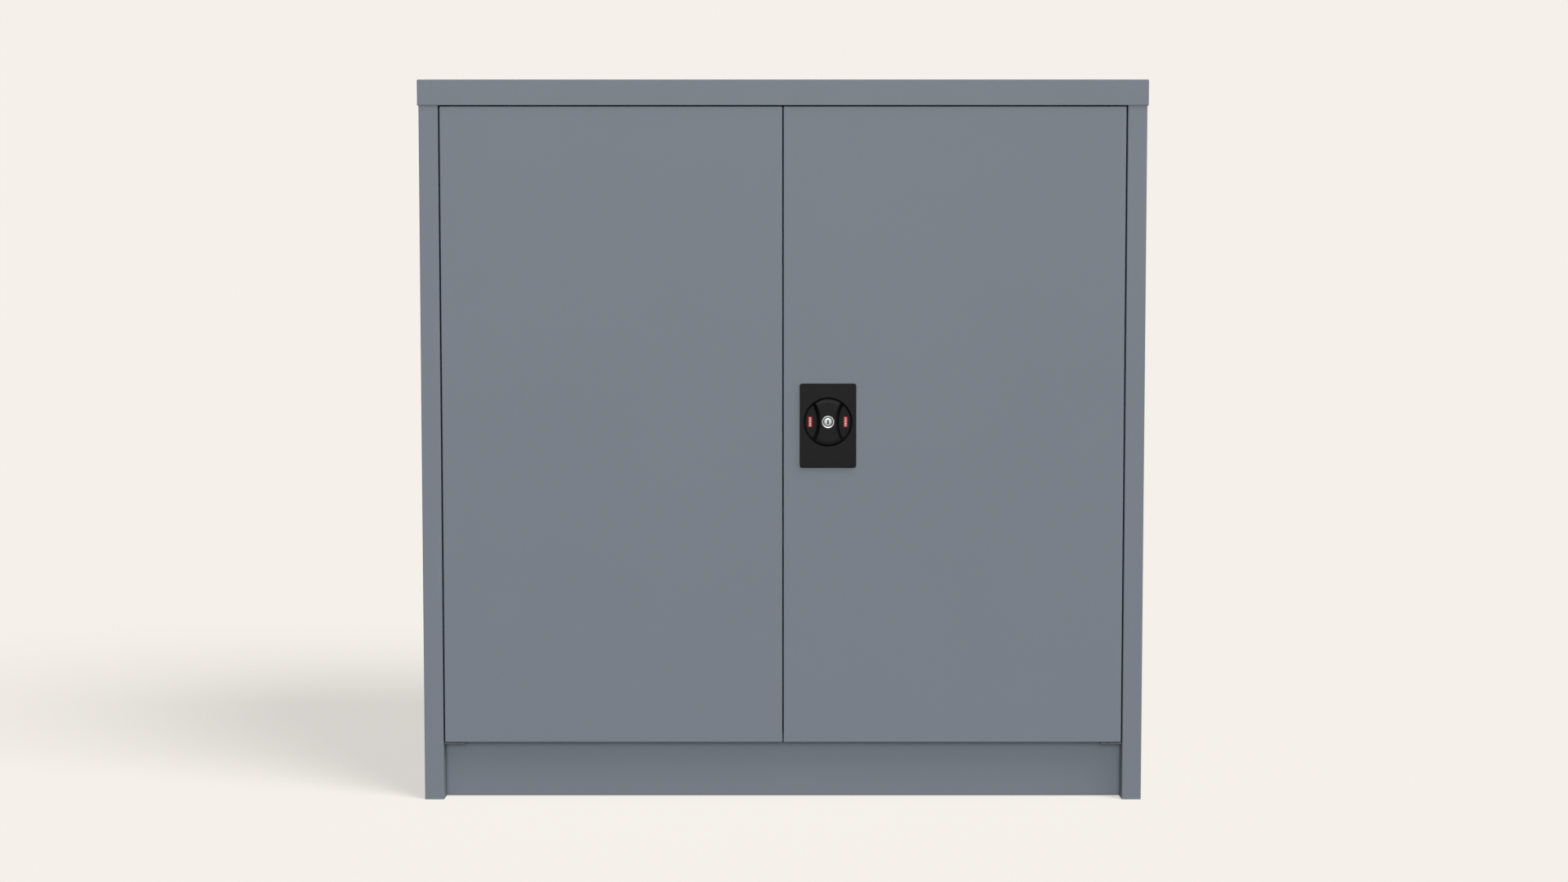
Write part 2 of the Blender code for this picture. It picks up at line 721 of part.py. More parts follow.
def build_pivots(word, sign):
    """Headed pin through the header, and a bracket with a pin and washer under the door."""
    head_low = header_web_bottom + SHEET + SEAT_GAP
    pin_low = door_top - PIVOT_REACH
    head_top = head_low + PIVOT_HEAD_HEIGHT
    pin = turned(
        "hinge_pin_top_" + word,
        [
            (0, head_top),
            (PIVOT_HEAD_RADIUS, head_top),
            (PIVOT_HEAD_RADIUS, head_low),
            (PIVOT_RADIUS, head_low),
            (PIVOT_RADIUS, pin_low),
            (0, pin_low),
        ],
        "grey powder coat",
    )
    pin.location = (sign * pivot_x, pivot_y, 0)
    washer_low = DOOR_BOTTOM - SEAT_GAP - WASHER_THICKNESS
    plate_top = washer_low - SEAT_GAP
    bore = PIVOT_RADIUS + PIVOT_CLEARANCE
    washer = turned(
        "hinge_washer_" + word,
        [
            (bore, washer_low + WASHER_THICKNESS),
            (WASHER_RADIUS, washer_low + WASHER_THICKNESS),
            (WASHER_RADIUS, washer_low),
            (bore, washer_low),
        ],
        "black moulded plastic",
        closed=True,
    )
    washer.location = (sign * pivot_x, pivot_y, 0)
    x_pair = sorted((sign * (post_x - SEAT_GAP), sign * (post_x - SEAT_GAP - BRACKET_LENGTH)))
    bracket = block(
        "hinge_bracket_" + word,
        (x_pair[0], pivot_y - BRACKET_MARGIN, plate_top - BRACKET_THICKNESS),
        (x_pair[1], plinth_y - SEAT_GAP, plate_top),
        "grey powder coat",
    )
    stub = upright_hole("bracket pin " + word, PIVOT_RADIUS, sign * pivot_x, pivot_y,
                        plate_top - BRACKET_THICKNESS / 2, DOOR_BOTTOM + PIVOT_REACH)
    fuse(bracket, stub)


def build_door(word, sign):
    """Folded pan with a hat-section stiffener, holed top and bottom for its pivots."""
    inner_x = DOOR_MIDDLE_GAP / 2
    width = door_edge_x - inner_x
    height = door_top - DOOR_BOTTOM
    middle_x = sign * (inner_x + width / 2)
    middle_z = (door_top + DOOR_BOTTOM) / 2
    door = pan(word + "_door", width, height, DOOR_THICKNESS, DOOR_FLANGE, "grey powder coat")
    face_front([door], middle_x, front_y, middle_z)
    for place, z in (("top", door_top), ("bottom", DOOR_BOTTOM)):
        hole = upright_hole(word + " door pivot hole " + place, PIVOT_RADIUS + PIVOT_CLEARANCE,
                            sign * pivot_x, pivot_y, z - PIVOT_REACH / 2, z + PIVOT_REACH / 2)
        cut(door, hole)
    inside_y = front_y + SHEET + SEAT_GAP
    half = STIFFENER_WIDTH / 2
    crown_y = inside_y + STIFFENER_DEPTH
    path = [
        (middle_x + half + STIFFENER_FOOT, inside_y + SHEET),
        (middle_x + half, inside_y + SHEET),
        (middle_x + half, crown_y),
        (middle_x - half, crown_y),
        (middle_x - half, inside_y + SHEET),
        (middle_x - half - STIFFENER_FOOT, inside_y + SHEET),
    ]
    stiffener = folded_sheet(word + "_door_stiffener", path, "Z",
                             DOOR_BOTTOM + STIFFENER_END_GAP, door_top - STIFFENER_END_GAP,
                             "grey powder coat", radius=0)
    return door, stiffener


def build_lock_plate(door):
    """Moulded plate with a round cup behind it, let into a hole in the right-hand door."""
    half_width = PLATE_WIDTH / 2
    middle = -PLATE_DROP
    half_height = PLATE_HEIGHT / 2
    plate = block("lock_plate", (-half_width, middle - half_height, SEAT_GAP),
                  (half_width, middle + half_height, PLATE_PROUD), "black moulded plastic",
                  edge=PLATE_CORNER, upright_edges_only=True)
    rim = plate.modifiers.new("rounded rim", "BEVEL")
    rim.width = PLATE_EDGE
    rim.segments = BEND_STEPS
    rim.limit_method = "ANGLE"
    rim.angle_limit = math.radians(60)
    cup = rod_solid("lock cup", CUP_RADIUS, -CUP_DEPTH, PLATE_PROUD / 2, steps=FINE_STEPS)
    bore = rod_solid("lock cup bore", CUP_BORE, CUP_FLOOR - CUP_DEPTH, CUT_OVERRUN,
                     steps=FINE_STEPS)
    hole = rod_solid("spindle hole", SPINDLE_RADIUS + SPINDLE_CLEARANCE,
                     -CUP_DEPTH - CUT_OVERRUN, CUT_OVERRUN)
    cup_floor = CUP_FLOOR - CUP_DEPTH
    blocks = []
    for sign in (-1, 1):
        near = sign * (PAWL_WIDTH / 2 + POST_BLOCK_GAP)
        x_pair = sorted((near, near + sign * POST_BLOCK_WIDTH))
        blocks.append(block("pawl post " + str(sign),
                            (x_pair[0], POST_RADIUS_IN, cup_floor - CUP_FLOOR / 2),
                            (x_pair[1], POST_RADIUS_IN + POST_BLOCK_LENGTH,
                             -DIAL_BACK - 2 * SEAT_GAP)))
    fuse(plate, cup)
    cut(plate, bore)
    cut(plate, hole)
    for post in blocks:
        fuse(plate, post)
    opening = rod_solid("door lock opening", CUP_RADIUS + CUP_HOLE_CLEARANCE, -CUP_DEPTH,
                        CUT_OVERRUN, steps=FINE_STEPS)
    case_front = -CUP_DEPTH - SEAT_GAP
    case = block("lock_case",
                 (-LOCK_CASE_WIDTH / 2, -LOCK_CASE_HEIGHT / 2, case_front - LOCK_CASE_THICKNESS),
                 (LOCK_CASE_WIDTH / 2, LOCK_CASE_HEIGHT / 2, case_front),
                 "zinc-plated steel", edge=LOCK_CASE_EDGE)
    cut(case, hole)
    face_front([plate, cup, bore, hole, opening, case] + blocks, DIAL_X, front_y, DIAL_HEIGHT)
    cut(door, opening)
    return [plate, case]


def build_dial():
    """Turning dial: a disc scooped on both sides of a waisted grip bar, on a hollow spindle."""
    front = PLATE_PROUD + GRIP_PROUD
    bore = PLUG_RADIUS + SEAT_GAP
    bore_floor = front - PLUG_LENGTH - PLUG_TAIL_LENGTH - 2 * SEAT_GAP
    sleeve_floor = front - SLEEVE_LENGTH - SEAT_GAP
    dial = turned(
        "dial",
        [
            (0, bore_floor),
            (bore, bore_floor),
            (bore, sleeve_floor),
            (SLEEVE_RADIUS + SEAT_GAP, sleeve_floor),
            (SLEEVE_RADIUS + SEAT_GAP, front),
            (DIAL_RADIUS - DIAL_EDGE, front),
            (DIAL_RADIUS, front - DIAL_EDGE),
            (DIAL_RADIUS, -DIAL_BACK),
            (SPINDLE_RADIUS, -DIAL_BACK),
            (SPINDLE_RADIUS, -spindle_end),
            (0, -spindle_end),
        ],
        "black moulded plastic",
        steps=FINE_STEPS,
    )
    tools = []
    pocket_floor = PLATE_PROUD - POCKET_DEPTH
    cutter_top = front + CUT_OVERRUN
    slope = GRIP_DRAFT / (front - pocket_floor)
    for word, sign in (("left", -1), ("right", 1)):
        scoop = rod_solid("grip scoop " + word, GRIP_SCOOP_RADIUS - GRIP_DRAFT, pocket_floor,
                          cutter_top, steps=SCOOP_STEPS,
                          tip=GRIP_SCOOP_RADIUS + slope * CUT_OVERRUN)
        tools.append((scoop, sign * (GRIP_WAIST + GRIP_SCOOP_RADIUS)))
        cut(dial, scoop)
    reach = PAWL_WIDTH / 2 + WINDOW_MARGIN
    far = SPINDLE_RADIUS + WINDOW_MARGIN
    window = block("pawl window", (-reach, -far, bore_floor + SEAT_GAP),
                   (far, reach, -DIAL_BACK - SEAT_GAP))
    half = SQUARE_SIDE / 2
    square = block("spindle square", (-half, -half, -square_end),
                   (half, half, SQUARE_ROOT - spindle_end))
    screw_hole = rod_solid("cam screw hole", CAM_SCREW_RADIUS + SEAT_GAP / 2,
                           -square_end - CUT_OVERRUN, CAM_SCREW_LENGTH - square_end,
                           steps=SMALL_STEPS)
    cut(dial, window)
    fuse(dial, square)
    cut(dial, screw_hole)
    labels = []
    for word, sign in (("left", -1), ("right", 1)):
        low = pocket_floor + SEAT_GAP
        label = block("dial_label_" + word,
                      (sign * LABEL_OFFSET - LABEL_WIDTH / 2, -LABEL_HEIGHT / 2, low),
                      (sign * LABEL_OFFSET + LABEL_WIDTH / 2, LABEL_HEIGHT / 2,
                       low + LABEL_THICKNESS), "red label plastic")
        labels.append(label)
    sleeve = turned(
        "key_sleeve",
        [
            (bore, front + SLEEVE_LIP),
            (SLEEVE_RADIUS - SLEEVE_LIP, front + SLEEVE_LIP),
            (SLEEVE_RADIUS, front),
            (SLEEVE_RADIUS, front - SLEEVE_LENGTH),
            (bore, front - SLEEVE_LENGTH),
        ],
        "chromed zinc",
        closed=True,
    )
    face_front([dial, window, square, screw_hole, sleeve] + labels, DIAL_X, front_y, DIAL_HEIGHT)
    for tool, offset in tools:
        face_front([tool], DIAL_X + offset, front_y, DIAL_HEIGHT)
    return [dial, sleeve] + labels


def build_key():
    """Key plug with its slot, and the finger on its tail that locks the dial to the cup."""
    front = PLATE_PROUD + GRIP_PROUD
    plug_end = front - PLUG_LENGTH
    tail_end = plug_end - PLUG_TAIL_LENGTH
    plug = turned(
        "key_plug",
        [
            (0, front),
            (PLUG_RADIUS, front),
            (PLUG_RADIUS, plug_end),
            (PLUG_TAIL_RADIUS, plug_end),
            (PLUG_TAIL_RADIUS, tail_end),
            (0, tail_end),
        ],
        "chromed zinc",
    )
    keyhole = block("keyhole", (-KEYHOLE_WIDTH / 2, -KEYHOLE_HEIGHT / 2, front - KEYHOLE_DEPTH),
                    (KEYHOLE_WIDTH / 2, KEYHOLE_HEIGHT / 2, front + CUT_OVERRUN))
    cut(plug, keyhole)
    pawl_front = plug_end - SEAT_GAP
    pawl_back = pawl_front - PAWL_THICKNESS
    hub = rod_solid("key_pawl", PAWL_HUB_RADIUS, pawl_back, pawl_front, "zinc-plated steel")
    finger = block("pawl finger", (-PAWL_WIDTH / 2, -PAWL_REACH, pawl_back + SEAT_GAP / 2),
                   (PAWL_WIDTH / 2, 0, pawl_front - SEAT_GAP / 2))
    bore = rod_solid("pawl bore", PLUG_TAIL_RADIUS + SEAT_GAP, pawl_back - CUT_OVERRUN,
                     pawl_front + CUT_OVERRUN)
    fuse(hub, finger)
    cut(hub, bore)
    face_front([plug, keyhole, hub, finger, bore], DIAL_X, front_y, DIAL_HEIGHT)
    return [plug, hub]


def build_cam():
    """Cam on the back of the spindle: a disc with two crank pins and a long bolt arm."""
    front = front_y - cam_front_y
    back = front - CAM_THICKNESS
    cam = rod_solid("lock_cam", CAM_RADIUS, back, front, "zinc-plated steel", steps=FINE_STEPS)
    middle = (front + back) / 2
    half_thickness = CAM_ARM_THICKNESS / 2
    arm = block("cam arm", (-CAM_ARM_WIDTH / 2, 0, middle - half_thickness),
                (CAM_ARM_WIDTH / 2, CAM_ARM_LENGTH, middle + half_thickness))
    tools = [arm]
    fuse(cam, arm)
    for word, side in (("right", 1), ("left", -1)):
        pin = rod_solid("crank pin " + word, CRANK_PIN_RADIUS, back - CRANK_PIN_LENGTH,
                        middle)
        face_front([pin], DIAL_X + side * crank_side, front_y, DIAL_HEIGHT - side * crank_side)
        fuse(cam, pin)
    half = SQUARE_SIDE / 2 + SEAT_GAP
    square = block("cam square hole", (-half, -half, back - CUT_OVERRUN),
                   (half, half, front + CUT_OVERRUN))
    cut(cam, square)
    tools.append(square)
    head_front = back - SEAT_GAP
    head_back = head_front - CAM_SCREW_HEAD_HEIGHT
    screw = turned(
        "cam_screw",
        [
            (0, head_front + CAM_SCREW_LENGTH),
            (CAM_SCREW_RADIUS, head_front + CAM_SCREW_LENGTH),
            (CAM_SCREW_RADIUS, head_front),
            (CAM_SCREW_HEAD_RADIUS, head_front),
            (CAM_SCREW_HEAD_RADIUS, head_back),
            (0, head_back),
        ],
        "zinc-plated steel",
        steps=SMALL_STEPS,
    )
    face_front([cam, screw] + tools, DIAL_X, front_y, DIAL_HEIGHT)
    return [cam, screw]


def rod_loops(tip, pin, tip_sign):
    """Outline of a flat rod with a slotted yoke round its crank pin, and the slot."""
    half = ROD_WIDTH / 2
    yoke_half = YOKE_WIDTH / 2
    yoke_rise = YOKE_HEIGHT / 2
    taper_z = tip - tip_sign * ROD_TIP_LENGTH
    neck_z = pin + tip_sign * yoke_rise
    foot_z = pin - tip_sign * yoke_rise
    outer = [
        (ROD_TIP_TAPER - half, tip),
        (half - ROD_TIP_TAPER, tip),
        (half, taper_z),
        (half, neck_z),
        (yoke_half, neck_z),
        (yoke_half, foot_z),
        (-yoke_half, foot_z),
        (-yoke_half, neck_z),
        (-half, neck_z),
        (-half, taper_z),
    ]
    slot_half = rod_offset - crank_side + CRANK_PIN_RADIUS + YOKE_END_CLEARANCE
    slot_rise = CRANK_PIN_RADIUS + YOKE_CLEARANCE
    slot = [
        (-slot_half, pin - slot_rise),
        (slot_half, pin - slot_rise),
        (slot_half, pin + slot_rise),
        (-slot_half, pin + slot_rise),
    ]
    return [outer, slot]


def build_rods():
    """Two flat rods that the cam drives up and down, each in a nylon guide on the door."""
    top_tip = header_lip_bottom - ROD_TOP_MARGIN
    bottom_tip = stop_rail_top + ROD_TOP_MARGIN
    pieces = []
    for name, x, tip, tip_sign, pin in (
        ("upper_rod", upper_rod_x, top_tip, 1, DIAL_HEIGHT - crank_side),
        ("lower_rod", lower_rod_x, bottom_tip, -1, DIAL_HEIGHT + crank_side),
    ):
        rod = outline_plate(name, rod_loops(tip, pin, tip_sign), ROD_THICKNESS,
                            "zinc-plated steel")
        face_front([rod], x, rod_middle_y, 0)
        guide_far = tip - tip_sign * ROD_TOP_MARGIN / 2
        guide_near = guide_far - tip_sign * GUIDE_HEIGHT
        z_pair = sorted((guide_far, guide_near))
        guide_back = rod_front_y + ROD_THICKNESS + GUIDE_CLEARANCE + GUIDE_WALL
        guide = block(name + "_guide",
                      (x - GUIDE_WIDTH / 2, door_back_y + SEAT_GAP, z_pair[0]),
                      (x + GUIDE_WIDTH / 2, guide_back, z_pair[1]), "white nylon")
        slot = block(name + " guide slot",
                     (x - ROD_WIDTH / 2 - GUIDE_CLEARANCE, rod_front_y - GUIDE_CLEARANCE,
                      z_pair[0] - CUT_OVERRUN),
                     (x + ROD_WIDTH / 2 + GUIDE_CLEARANCE,
                      rod_front_y + ROD_THICKNESS + GUIDE_CLEARANCE, z_pair[1] + CUT_OVERRUN))
        cut(guide, slot)
        pieces.append((rod, guide))
    return pieces


def build_cabinet():
    front_row = front_y + UPRIGHT_FRONT_INSET
    rear_row = back_inner_y - UPRIGHT_REAR_INSET
    build_back()
    build_cap()
    build_header()
    floor = build_floor()
    plinth = build_plinth()
    build_stop_rail(floor, plinth)
    for word, sign in (("left", -1), ("right", 1)):
        build_side(word, sign)
        build_upright("upright_front_" + word, sign, front_row)
        build_upright("upright_rear_" + word, sign, rear_row)
        build_foot("levelling_foot_front_" + word, "foot_bracket_front_" + word, sign,
                   front_y + FOOT_FRONT_INSET)
        build_foot("levelling_foot_rear_" + word, "foot_bracket_rear_" + word, sign,
                   back_y - FOOT_REAR_INSET)
        build_pivots(word, sign)
        middle = sign * BUFFER_FROM_MIDDLE
        build_buffer("door_buffer_top_" + word, middle,
                     (header_lip_bottom + header_web_bottom) / 2)
        build_buffer("door_buffer_bottom_" + word, middle, (stop_rail_bottom + stop_rail_top) / 2)
    build_shelf("lower", SHELF_SLOTS[0], front_row, rear_row)
    build_shelf("upper", SHELF_SLOTS[1], front_row, rear_row)


def build_doors():
    left_door, left_stiffener = build_door("left", -1)
    right_door, right_stiffener = build_door("right", 1)
    plate_pieces = build_lock_plate(right_door)
    dial_pieces = build_dial()
    key_pieces = build_key()
    cam_pieces = build_cam()
    rods = build_rods()
    left_axis = joint_empty("left door axis", -pivot_x, pivot_y, DOOR_BOTTOM)
    right_axis = joint_empty("right door axis", pivot_x, pivot_y, DOOR_BOTTOM)
    dial_axis = joint_empty("dial axis", DIAL_X, front_y, DIAL_HEIGHT)
    carry([left_door, left_stiffener], left_axis)
    carry([right_door, right_stiffener] + plate_pieces, right_axis)
    carry([dial_axis], right_axis)
    for rod, guide in rods:
        carry([rod, guide], right_axis)
    carry(dial_pieces + key_pieces + cam_pieces, dial_axis)


def main():
    global parts, cutters
    clear_scene()
    parts = new_collection("metal storage cabinet")
    cutters = new_collection("cutters")
    make_finishes()
    build_cabinet()
    build_doors()
    bpy.context.view_layer.update()


if __name__ == "__main__":
    main()
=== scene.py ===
"""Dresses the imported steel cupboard: folded coated sheet, a moulded lock and plated fittings.

Every length is in metres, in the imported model's frame: X to the right, Z up, doors facing -Y.
The lock's pieces are drawn flat first, with X to the right, Y up and Z towards the viewer, and
stand_at() then stands them on the door.
"""

import json
import math

import bmesh
import bpy
from bpy.props import (FloatProperty, FloatVectorProperty, IntProperty, PointerProperty,
                       StringProperty)
from mathutils import Matrix, Vector


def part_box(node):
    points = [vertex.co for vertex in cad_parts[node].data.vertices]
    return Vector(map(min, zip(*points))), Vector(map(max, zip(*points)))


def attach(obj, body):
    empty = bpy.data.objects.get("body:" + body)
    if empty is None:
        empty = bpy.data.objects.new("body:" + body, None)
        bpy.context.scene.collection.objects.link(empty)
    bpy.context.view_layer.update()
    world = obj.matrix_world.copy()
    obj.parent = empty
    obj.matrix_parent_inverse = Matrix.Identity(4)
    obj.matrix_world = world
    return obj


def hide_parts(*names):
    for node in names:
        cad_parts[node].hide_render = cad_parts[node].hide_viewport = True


bl_info = {
    "name": "Steel Cupboard Dressing",
    "version": (1, 0, 0),
    "blender": (4, 5, 0),
    "location": "View3D > Sidebar > Cupboard",
    "description": "Builds the visible sheet metal, lock, fittings and studio of a steel cupboard",
    "category": "Object",
}

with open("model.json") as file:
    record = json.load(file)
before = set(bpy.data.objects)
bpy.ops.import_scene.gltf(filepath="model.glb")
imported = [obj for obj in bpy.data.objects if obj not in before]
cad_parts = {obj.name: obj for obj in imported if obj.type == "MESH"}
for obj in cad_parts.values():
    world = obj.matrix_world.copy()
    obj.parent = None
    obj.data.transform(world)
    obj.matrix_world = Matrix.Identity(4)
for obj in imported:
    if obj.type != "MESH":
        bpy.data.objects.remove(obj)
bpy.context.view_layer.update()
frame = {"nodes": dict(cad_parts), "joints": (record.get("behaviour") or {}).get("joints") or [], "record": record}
joints = {joint["name"]: joint for joint in frame["joints"]}
dial_place = Vector(joints["dial_turn"]["pos_m"])
materials = {}

X, Y, Z = range(3)
# The two sides, each with the sign of its X.
SIDES = {"left": -1, "right": 1}
# Points nearer to each other than this are merged.
MERGE = 0.000001
# Faces that are picked by their place are picked with this much to spare.
MARGIN = 0.0001
# An edge runs along an axis when its direction holds more than this share of it.
ALONG = 0.9
# Edges that turn by more than this stay sharp; the turned pieces of the lock take the wider one.
CREASE = math.radians(35)
WIDE_CREASE = math.radians(50)

# Rounded profiles, as two shares for each point. The sleeve's lip: of its wall, outwards from the
# bore, and of its fall, downwards from the lip.
SLEEVE_LIP = ((1, 1), (0.92, 0.45), (0.8, 0.1), (0.62, 0), (0.3, 0.3), (0.1, 0.8), (0, 1.6))
# The key plug's front edge: of its rounding, inwards and down.
PLUG_EDGE = ((2, 0), (0.6, 0.3), (0, 1))
# The cam screw's head: of its radius, and of its height away from the cam.
SCREW_HEAD = ((1, 0), (1, 0.45), (0.94, 0.7), (0.78, 0.89), (0.55, 1))

# The finish that each of the record's material slots takes.
SLOT_FINISHES = {
    "steel": "polyester_powder_coat",
    "black_plastic": "moulded_abs",
    "red_label": "printed_insert_left",
    "chrome": "polished_chrome",
    "zinc": "bright_zinc_plate",
    "nylon": "moulded_nylon",
    "rubber": "moulded_rubber",
}


def length(name, default, description):
    return FloatProperty(name=name, description=description, default=default, min=0,
                         precision=5, unit="LENGTH")


def colour(name, default, description):
    return StringProperty(name=name, description=description, default=default)


def share(name, default, description):
    return FloatProperty(name=name, description=description, default=default, min=0, max=1)


class SheetSettings(bpy.types.PropertyGroup):
    """Sizes of the folded sheet metal."""

    thickness: length("Sheet", 0.0009, "Thickness of the steel sheet")
    bend: length("Bend radius", 0.0012, "Outer radius of a fold")
    cap_bend: length("Cap bend radius", 0.0016, "Outer radius of the cap's folds and corners")
    bend_steps: IntProperty(name="Bend steps", description="Facets round a fold", default=4, min=1)
    post_return: length("Post return", 0.030, "Depth of the front post behind its face")
    rear_flange: length("Rear flange", 0.020, "Width of the side wall's flange at the back")
    door_flange: length("Door flange", 0.020, "Width of the door's inner flange")
    pivot_bore: length("Pivot bore", 0.0033, "Radius of the holes for the hinge pins")
    lock_opening: length("Lock opening", 0.0326, "Radius of the door's hole for the lock cup")
    weld_radius: length("Weld radius", 0.0028, "Radius of a spot weld's mark")
    weld_top: length("Weld top", 0.00154, "Radius of the flat top of a spot weld's mark")
    weld_rise: length("Weld rise", 0.00025, "How far a spot weld's mark stands up")
    weld_pitch: length("Weld pitch", 0.085, "Distance between spot welds")
    weld_inset: length("Weld inset", 0.007, "Distance from a weld to the sheet's edge")


class LockSettings(bpy.types.PropertyGroup):
    """Sizes of the moulded lock plate, the dial and the key cylinder."""

    plate_corner: length("Plate corner", 0.003, "Radius of the plate's corners")
    plate_rim: length("Plate rim", 0.0012, "Radius along the plate's front edge")
    cup_radius: length("Cup radius", 0.032, "Outside radius of the cup behind the plate")
    cup_bore: length("Cup bore", 0.0302, "Radius of the opening in which the dial turns")
    cup_floor: length("Cup floor", 0.0015, "Thickness of the cup's floor")
    mouth: length("Mouth radius", 0.0005, "Rounding round the mouth of the cup")
    spindle: length("Spindle radius", 0.008, "Radius of the dial's spindle")
    spindle_gap: length("Spindle gap", 0.0004, "Clearance round the spindle")
    dial_edge: length("Dial edge", 0.0009, "Radius along the dial's rim")
    dial_back: length("Dial back", 0.008, "Depth of the dial's disc behind the door's face")
    grip_waist: length("Grip waist", 0.0088, "Half the width of the grip bar at its waist")
    grip_scoop: length("Grip scoop", 0.048, "Radius of the grip bar's hollow sides")
    grip_flank: length("Grip flank", 0.0052, "Run of the sloping sides of the grip bar")
    grip_end_run: length("Grip end run", 0.0046, "Where the ends of the grip bar start to fall")
    grip_end_fall: length("Grip end fall", 0.0011, "How far the ends of the grip bar fall away")
    grip_dish: length("Grip dish", 0.0003, "Hollow across the top of the grip bar")
    pocket_floor: length("Pocket depth", 0.0045, "Depth of the finger pockets behind the door")
    sleeve_radius: length("Sleeve radius", 0.00785, "Outside radius of the chromed sleeve")
    sleeve_length: length("Sleeve length", 0.006, "Depth of the chromed sleeve")
    sleeve_fall: length("Sleeve fall", 0.0005, "Rounding over the sleeve's lip")
    plug_radius: length("Plug radius", 0.0050, "Radius of the key plug")
    plug_edge: length("Plug edge", 0.0004, "Rounding along the plug's edge")
    plug_gap: length("Plug gap", 0.0005, "Gap round the key plug")
    tail_radius: length("Tail radius", 0.003, "Radius of the plug's tail")
    tail_length: length("Tail length", 0.003, "Length of the plug's tail")
    square: length("Square", 0.006, "Side of the spindle's square end")
    clearance: length("Clearance", 0.0003, "Running gap round the lock's pieces")
    keyhole_width: length("Keyhole width", 0.0013, "Width of the keyhole")
    keyhole_height: length("Keyhole height", 0.0052, "Height of the keyhole")
    keyhole_end: length("Keyhole end", 0.0011, "Radius of the round ends of the keyhole")
    keyhole_depth: length("Keyhole depth", 0.008, "Depth of the keyhole")
    label_corner: length("Label corner", 0.0006, "Radius of the label inserts' corners")
    rings: IntProperty(name="Dial rings", description="Rings of faces on the dial", default=40)
    rim_rings: IntProperty(name="Rim rings", description="Rings round the dial's rim", default=6)
    round_steps: IntProperty(name="Round steps", description="Facets round the lock", default=192)


class FittingSettings(bpy.types.PropertyGroup):
    """Sizes of the small fittings."""

    guide_corner: length("Guide corner", 0.0008, "Rounding of the nylon rod guides")
    rod_width: length("Rod width", 0.008, "Width of a locking rod")
    rod_gap: length("Rod gap", 0.0004, "Clearance round a rod in its guide")
    case_corner: length("Case corner", 0.003, "Rounding of the lock case's corners")
    case_edge: length("Case edge", 0.0008, "Rounding along the lock case's rim")
    rivet_radius: length("Rivet radius", 0.0026, "Radius of a rivet's head")
    rivet_top: length("Rivet top", 0.0013, "Radius of the flat top of a rivet's head")
    rivet_rise: length("Rivet rise", 0.0005, "Height of a rivet's head")
    rivet_inset: length("Rivet inset", 0.007, "Distance from a rivet to the case's edge")
    screw_head: length("Screw head", 0.0022, "Height of the cam screw's head")
    screw_shank: length("Screw shank", 0.0021, "Radius of the cam screw's shank")
    recess_width: length("Recess width", 0.0012, "Width of the cross recess in a screw")
    recess_depth: length("Recess depth", 0.0012, "Depth of the cross recess in a screw")
    stud_radius: length("Stud radius", 0.004, "Radius of a levelling foot's stud")
    thread_pitch: length("Thread pitch", 0.00125, "Pitch of the levelling feet's thread")
    thread_depth: length("Thread depth", 0.0006, "Depth of the levelling feet's thread")
    pad_height: length("Pad height", 0.006, "Height of a levelling foot's pad")
    pad_neck: length("Pad neck", 0.004, "Rounding on top of the pad")
    foot_nut: length("Foot nut", 0.0075, "Radius of the hexagon on a levelling foot")
    foot_nut_height: length("Foot nut height", 0.004, "Height of that hexagon")
    buffer_dome: length("Buffer dome", 0.0009, "Rounding of the rubber buffers")


class FinishSettings(bpy.types.PropertyGroup):
    """Colours and grains of the finishes. Colours are sRGB hex values."""

    coat: colour("Powder coat", "727A84", "Blue-grey powder coat")
    coat_deep: colour("Powder coat, deep", "6F7781", "The coat where it lies a little thicker")
    peel: length("Orange peel", 0.0022, "Distance between the ripples of the powder coat")
    moulding: colour("Moulding", "121213", "Black satin moulded plastic")
    moulding_light: colour("Moulding, light", "161617", "The same where the flow left it paler")
    grain: length("Moulding grain", 0.0006, "Distance between the pits of the moulding's grain")
    label: colour("Label", "AC2422", "Red insert")
    tick: colour("Tick bars", "FADFDA", "Plain bars printed on the insert")
    tick_pitch: length("Tick pitch", 0.0024, "Distance between the printed bars")
    tick_margin: length("Tick margin", 0.0013, "Bare rim round the printed bars")
    tick_share: share("Tick share", 0.52, "Height of a bar over the distance between bars")
    chrome: colour("Chrome", "8F9193", "Bright chrome plating")
    zinc: colour("Zinc", "B4B8BC", "Bright zinc plating")
    zinc_deep: colour("Zinc, deep", "9EA3A8", "Zinc plating where it is duller")
    spangle: length("Zinc spangle", 0.004, "Size of the zinc's patches")
    # The keyway's colour is oiled metal made almost black with painted shade, for the faces inside the keyhole and
    # the sleeve's bore.
    keyway: colour("Keyway", "121212", "Oiled and shaded metal inside the keyhole")
    # The hinges' phosphate tones are darker than the finish alone would be, as painted shade, so that the brackets
    # under the doors read as the shade there.
    phosphate: colour("Phosphate", "575C62", "Phosphated steel of the hinges")
    phosphate_light: colour("Phosphate, light", "60656B", "The same where it is rubbed")
    nylon: colour("Nylon", "E4E3DC", "Natural white nylon")
    rubber: colour("Rubber", "1B1B1C", "Black rubber")


class StudioSettings(bpy.types.PropertyGroup):
    """The floor, the light and the camera."""

    background: colour("Background", "F5F0EA", "Floor and backdrop")
    floor_size: length("Floor size", 60.0, "Side of the square floor")
    shadow_share: share("Shadow share", 0.312, "How much of the floor's shadow the camera sees")
    bounce: share("Bounce", 0.2, "How much of the floor's brightness lights the object")
    ambient: share("Ambient", 0.2, "Brightness of the surroundings that light the object")
    camera_place: FloatVectorProperty(
        name="Camera place", default=(0.00131, -2.91953, 0.61007), unit="LENGTH", subtype="XYZ",
        description="Where the camera stands")
    camera_pitch: FloatProperty(
        name="Camera pitch", default=math.radians(86.601), subtype="ANGLE",
        description="Tilt of the camera, 90 degrees being level")
    lens: FloatProperty(name="Lens", default=50.0, description="Focal length in millimetres")


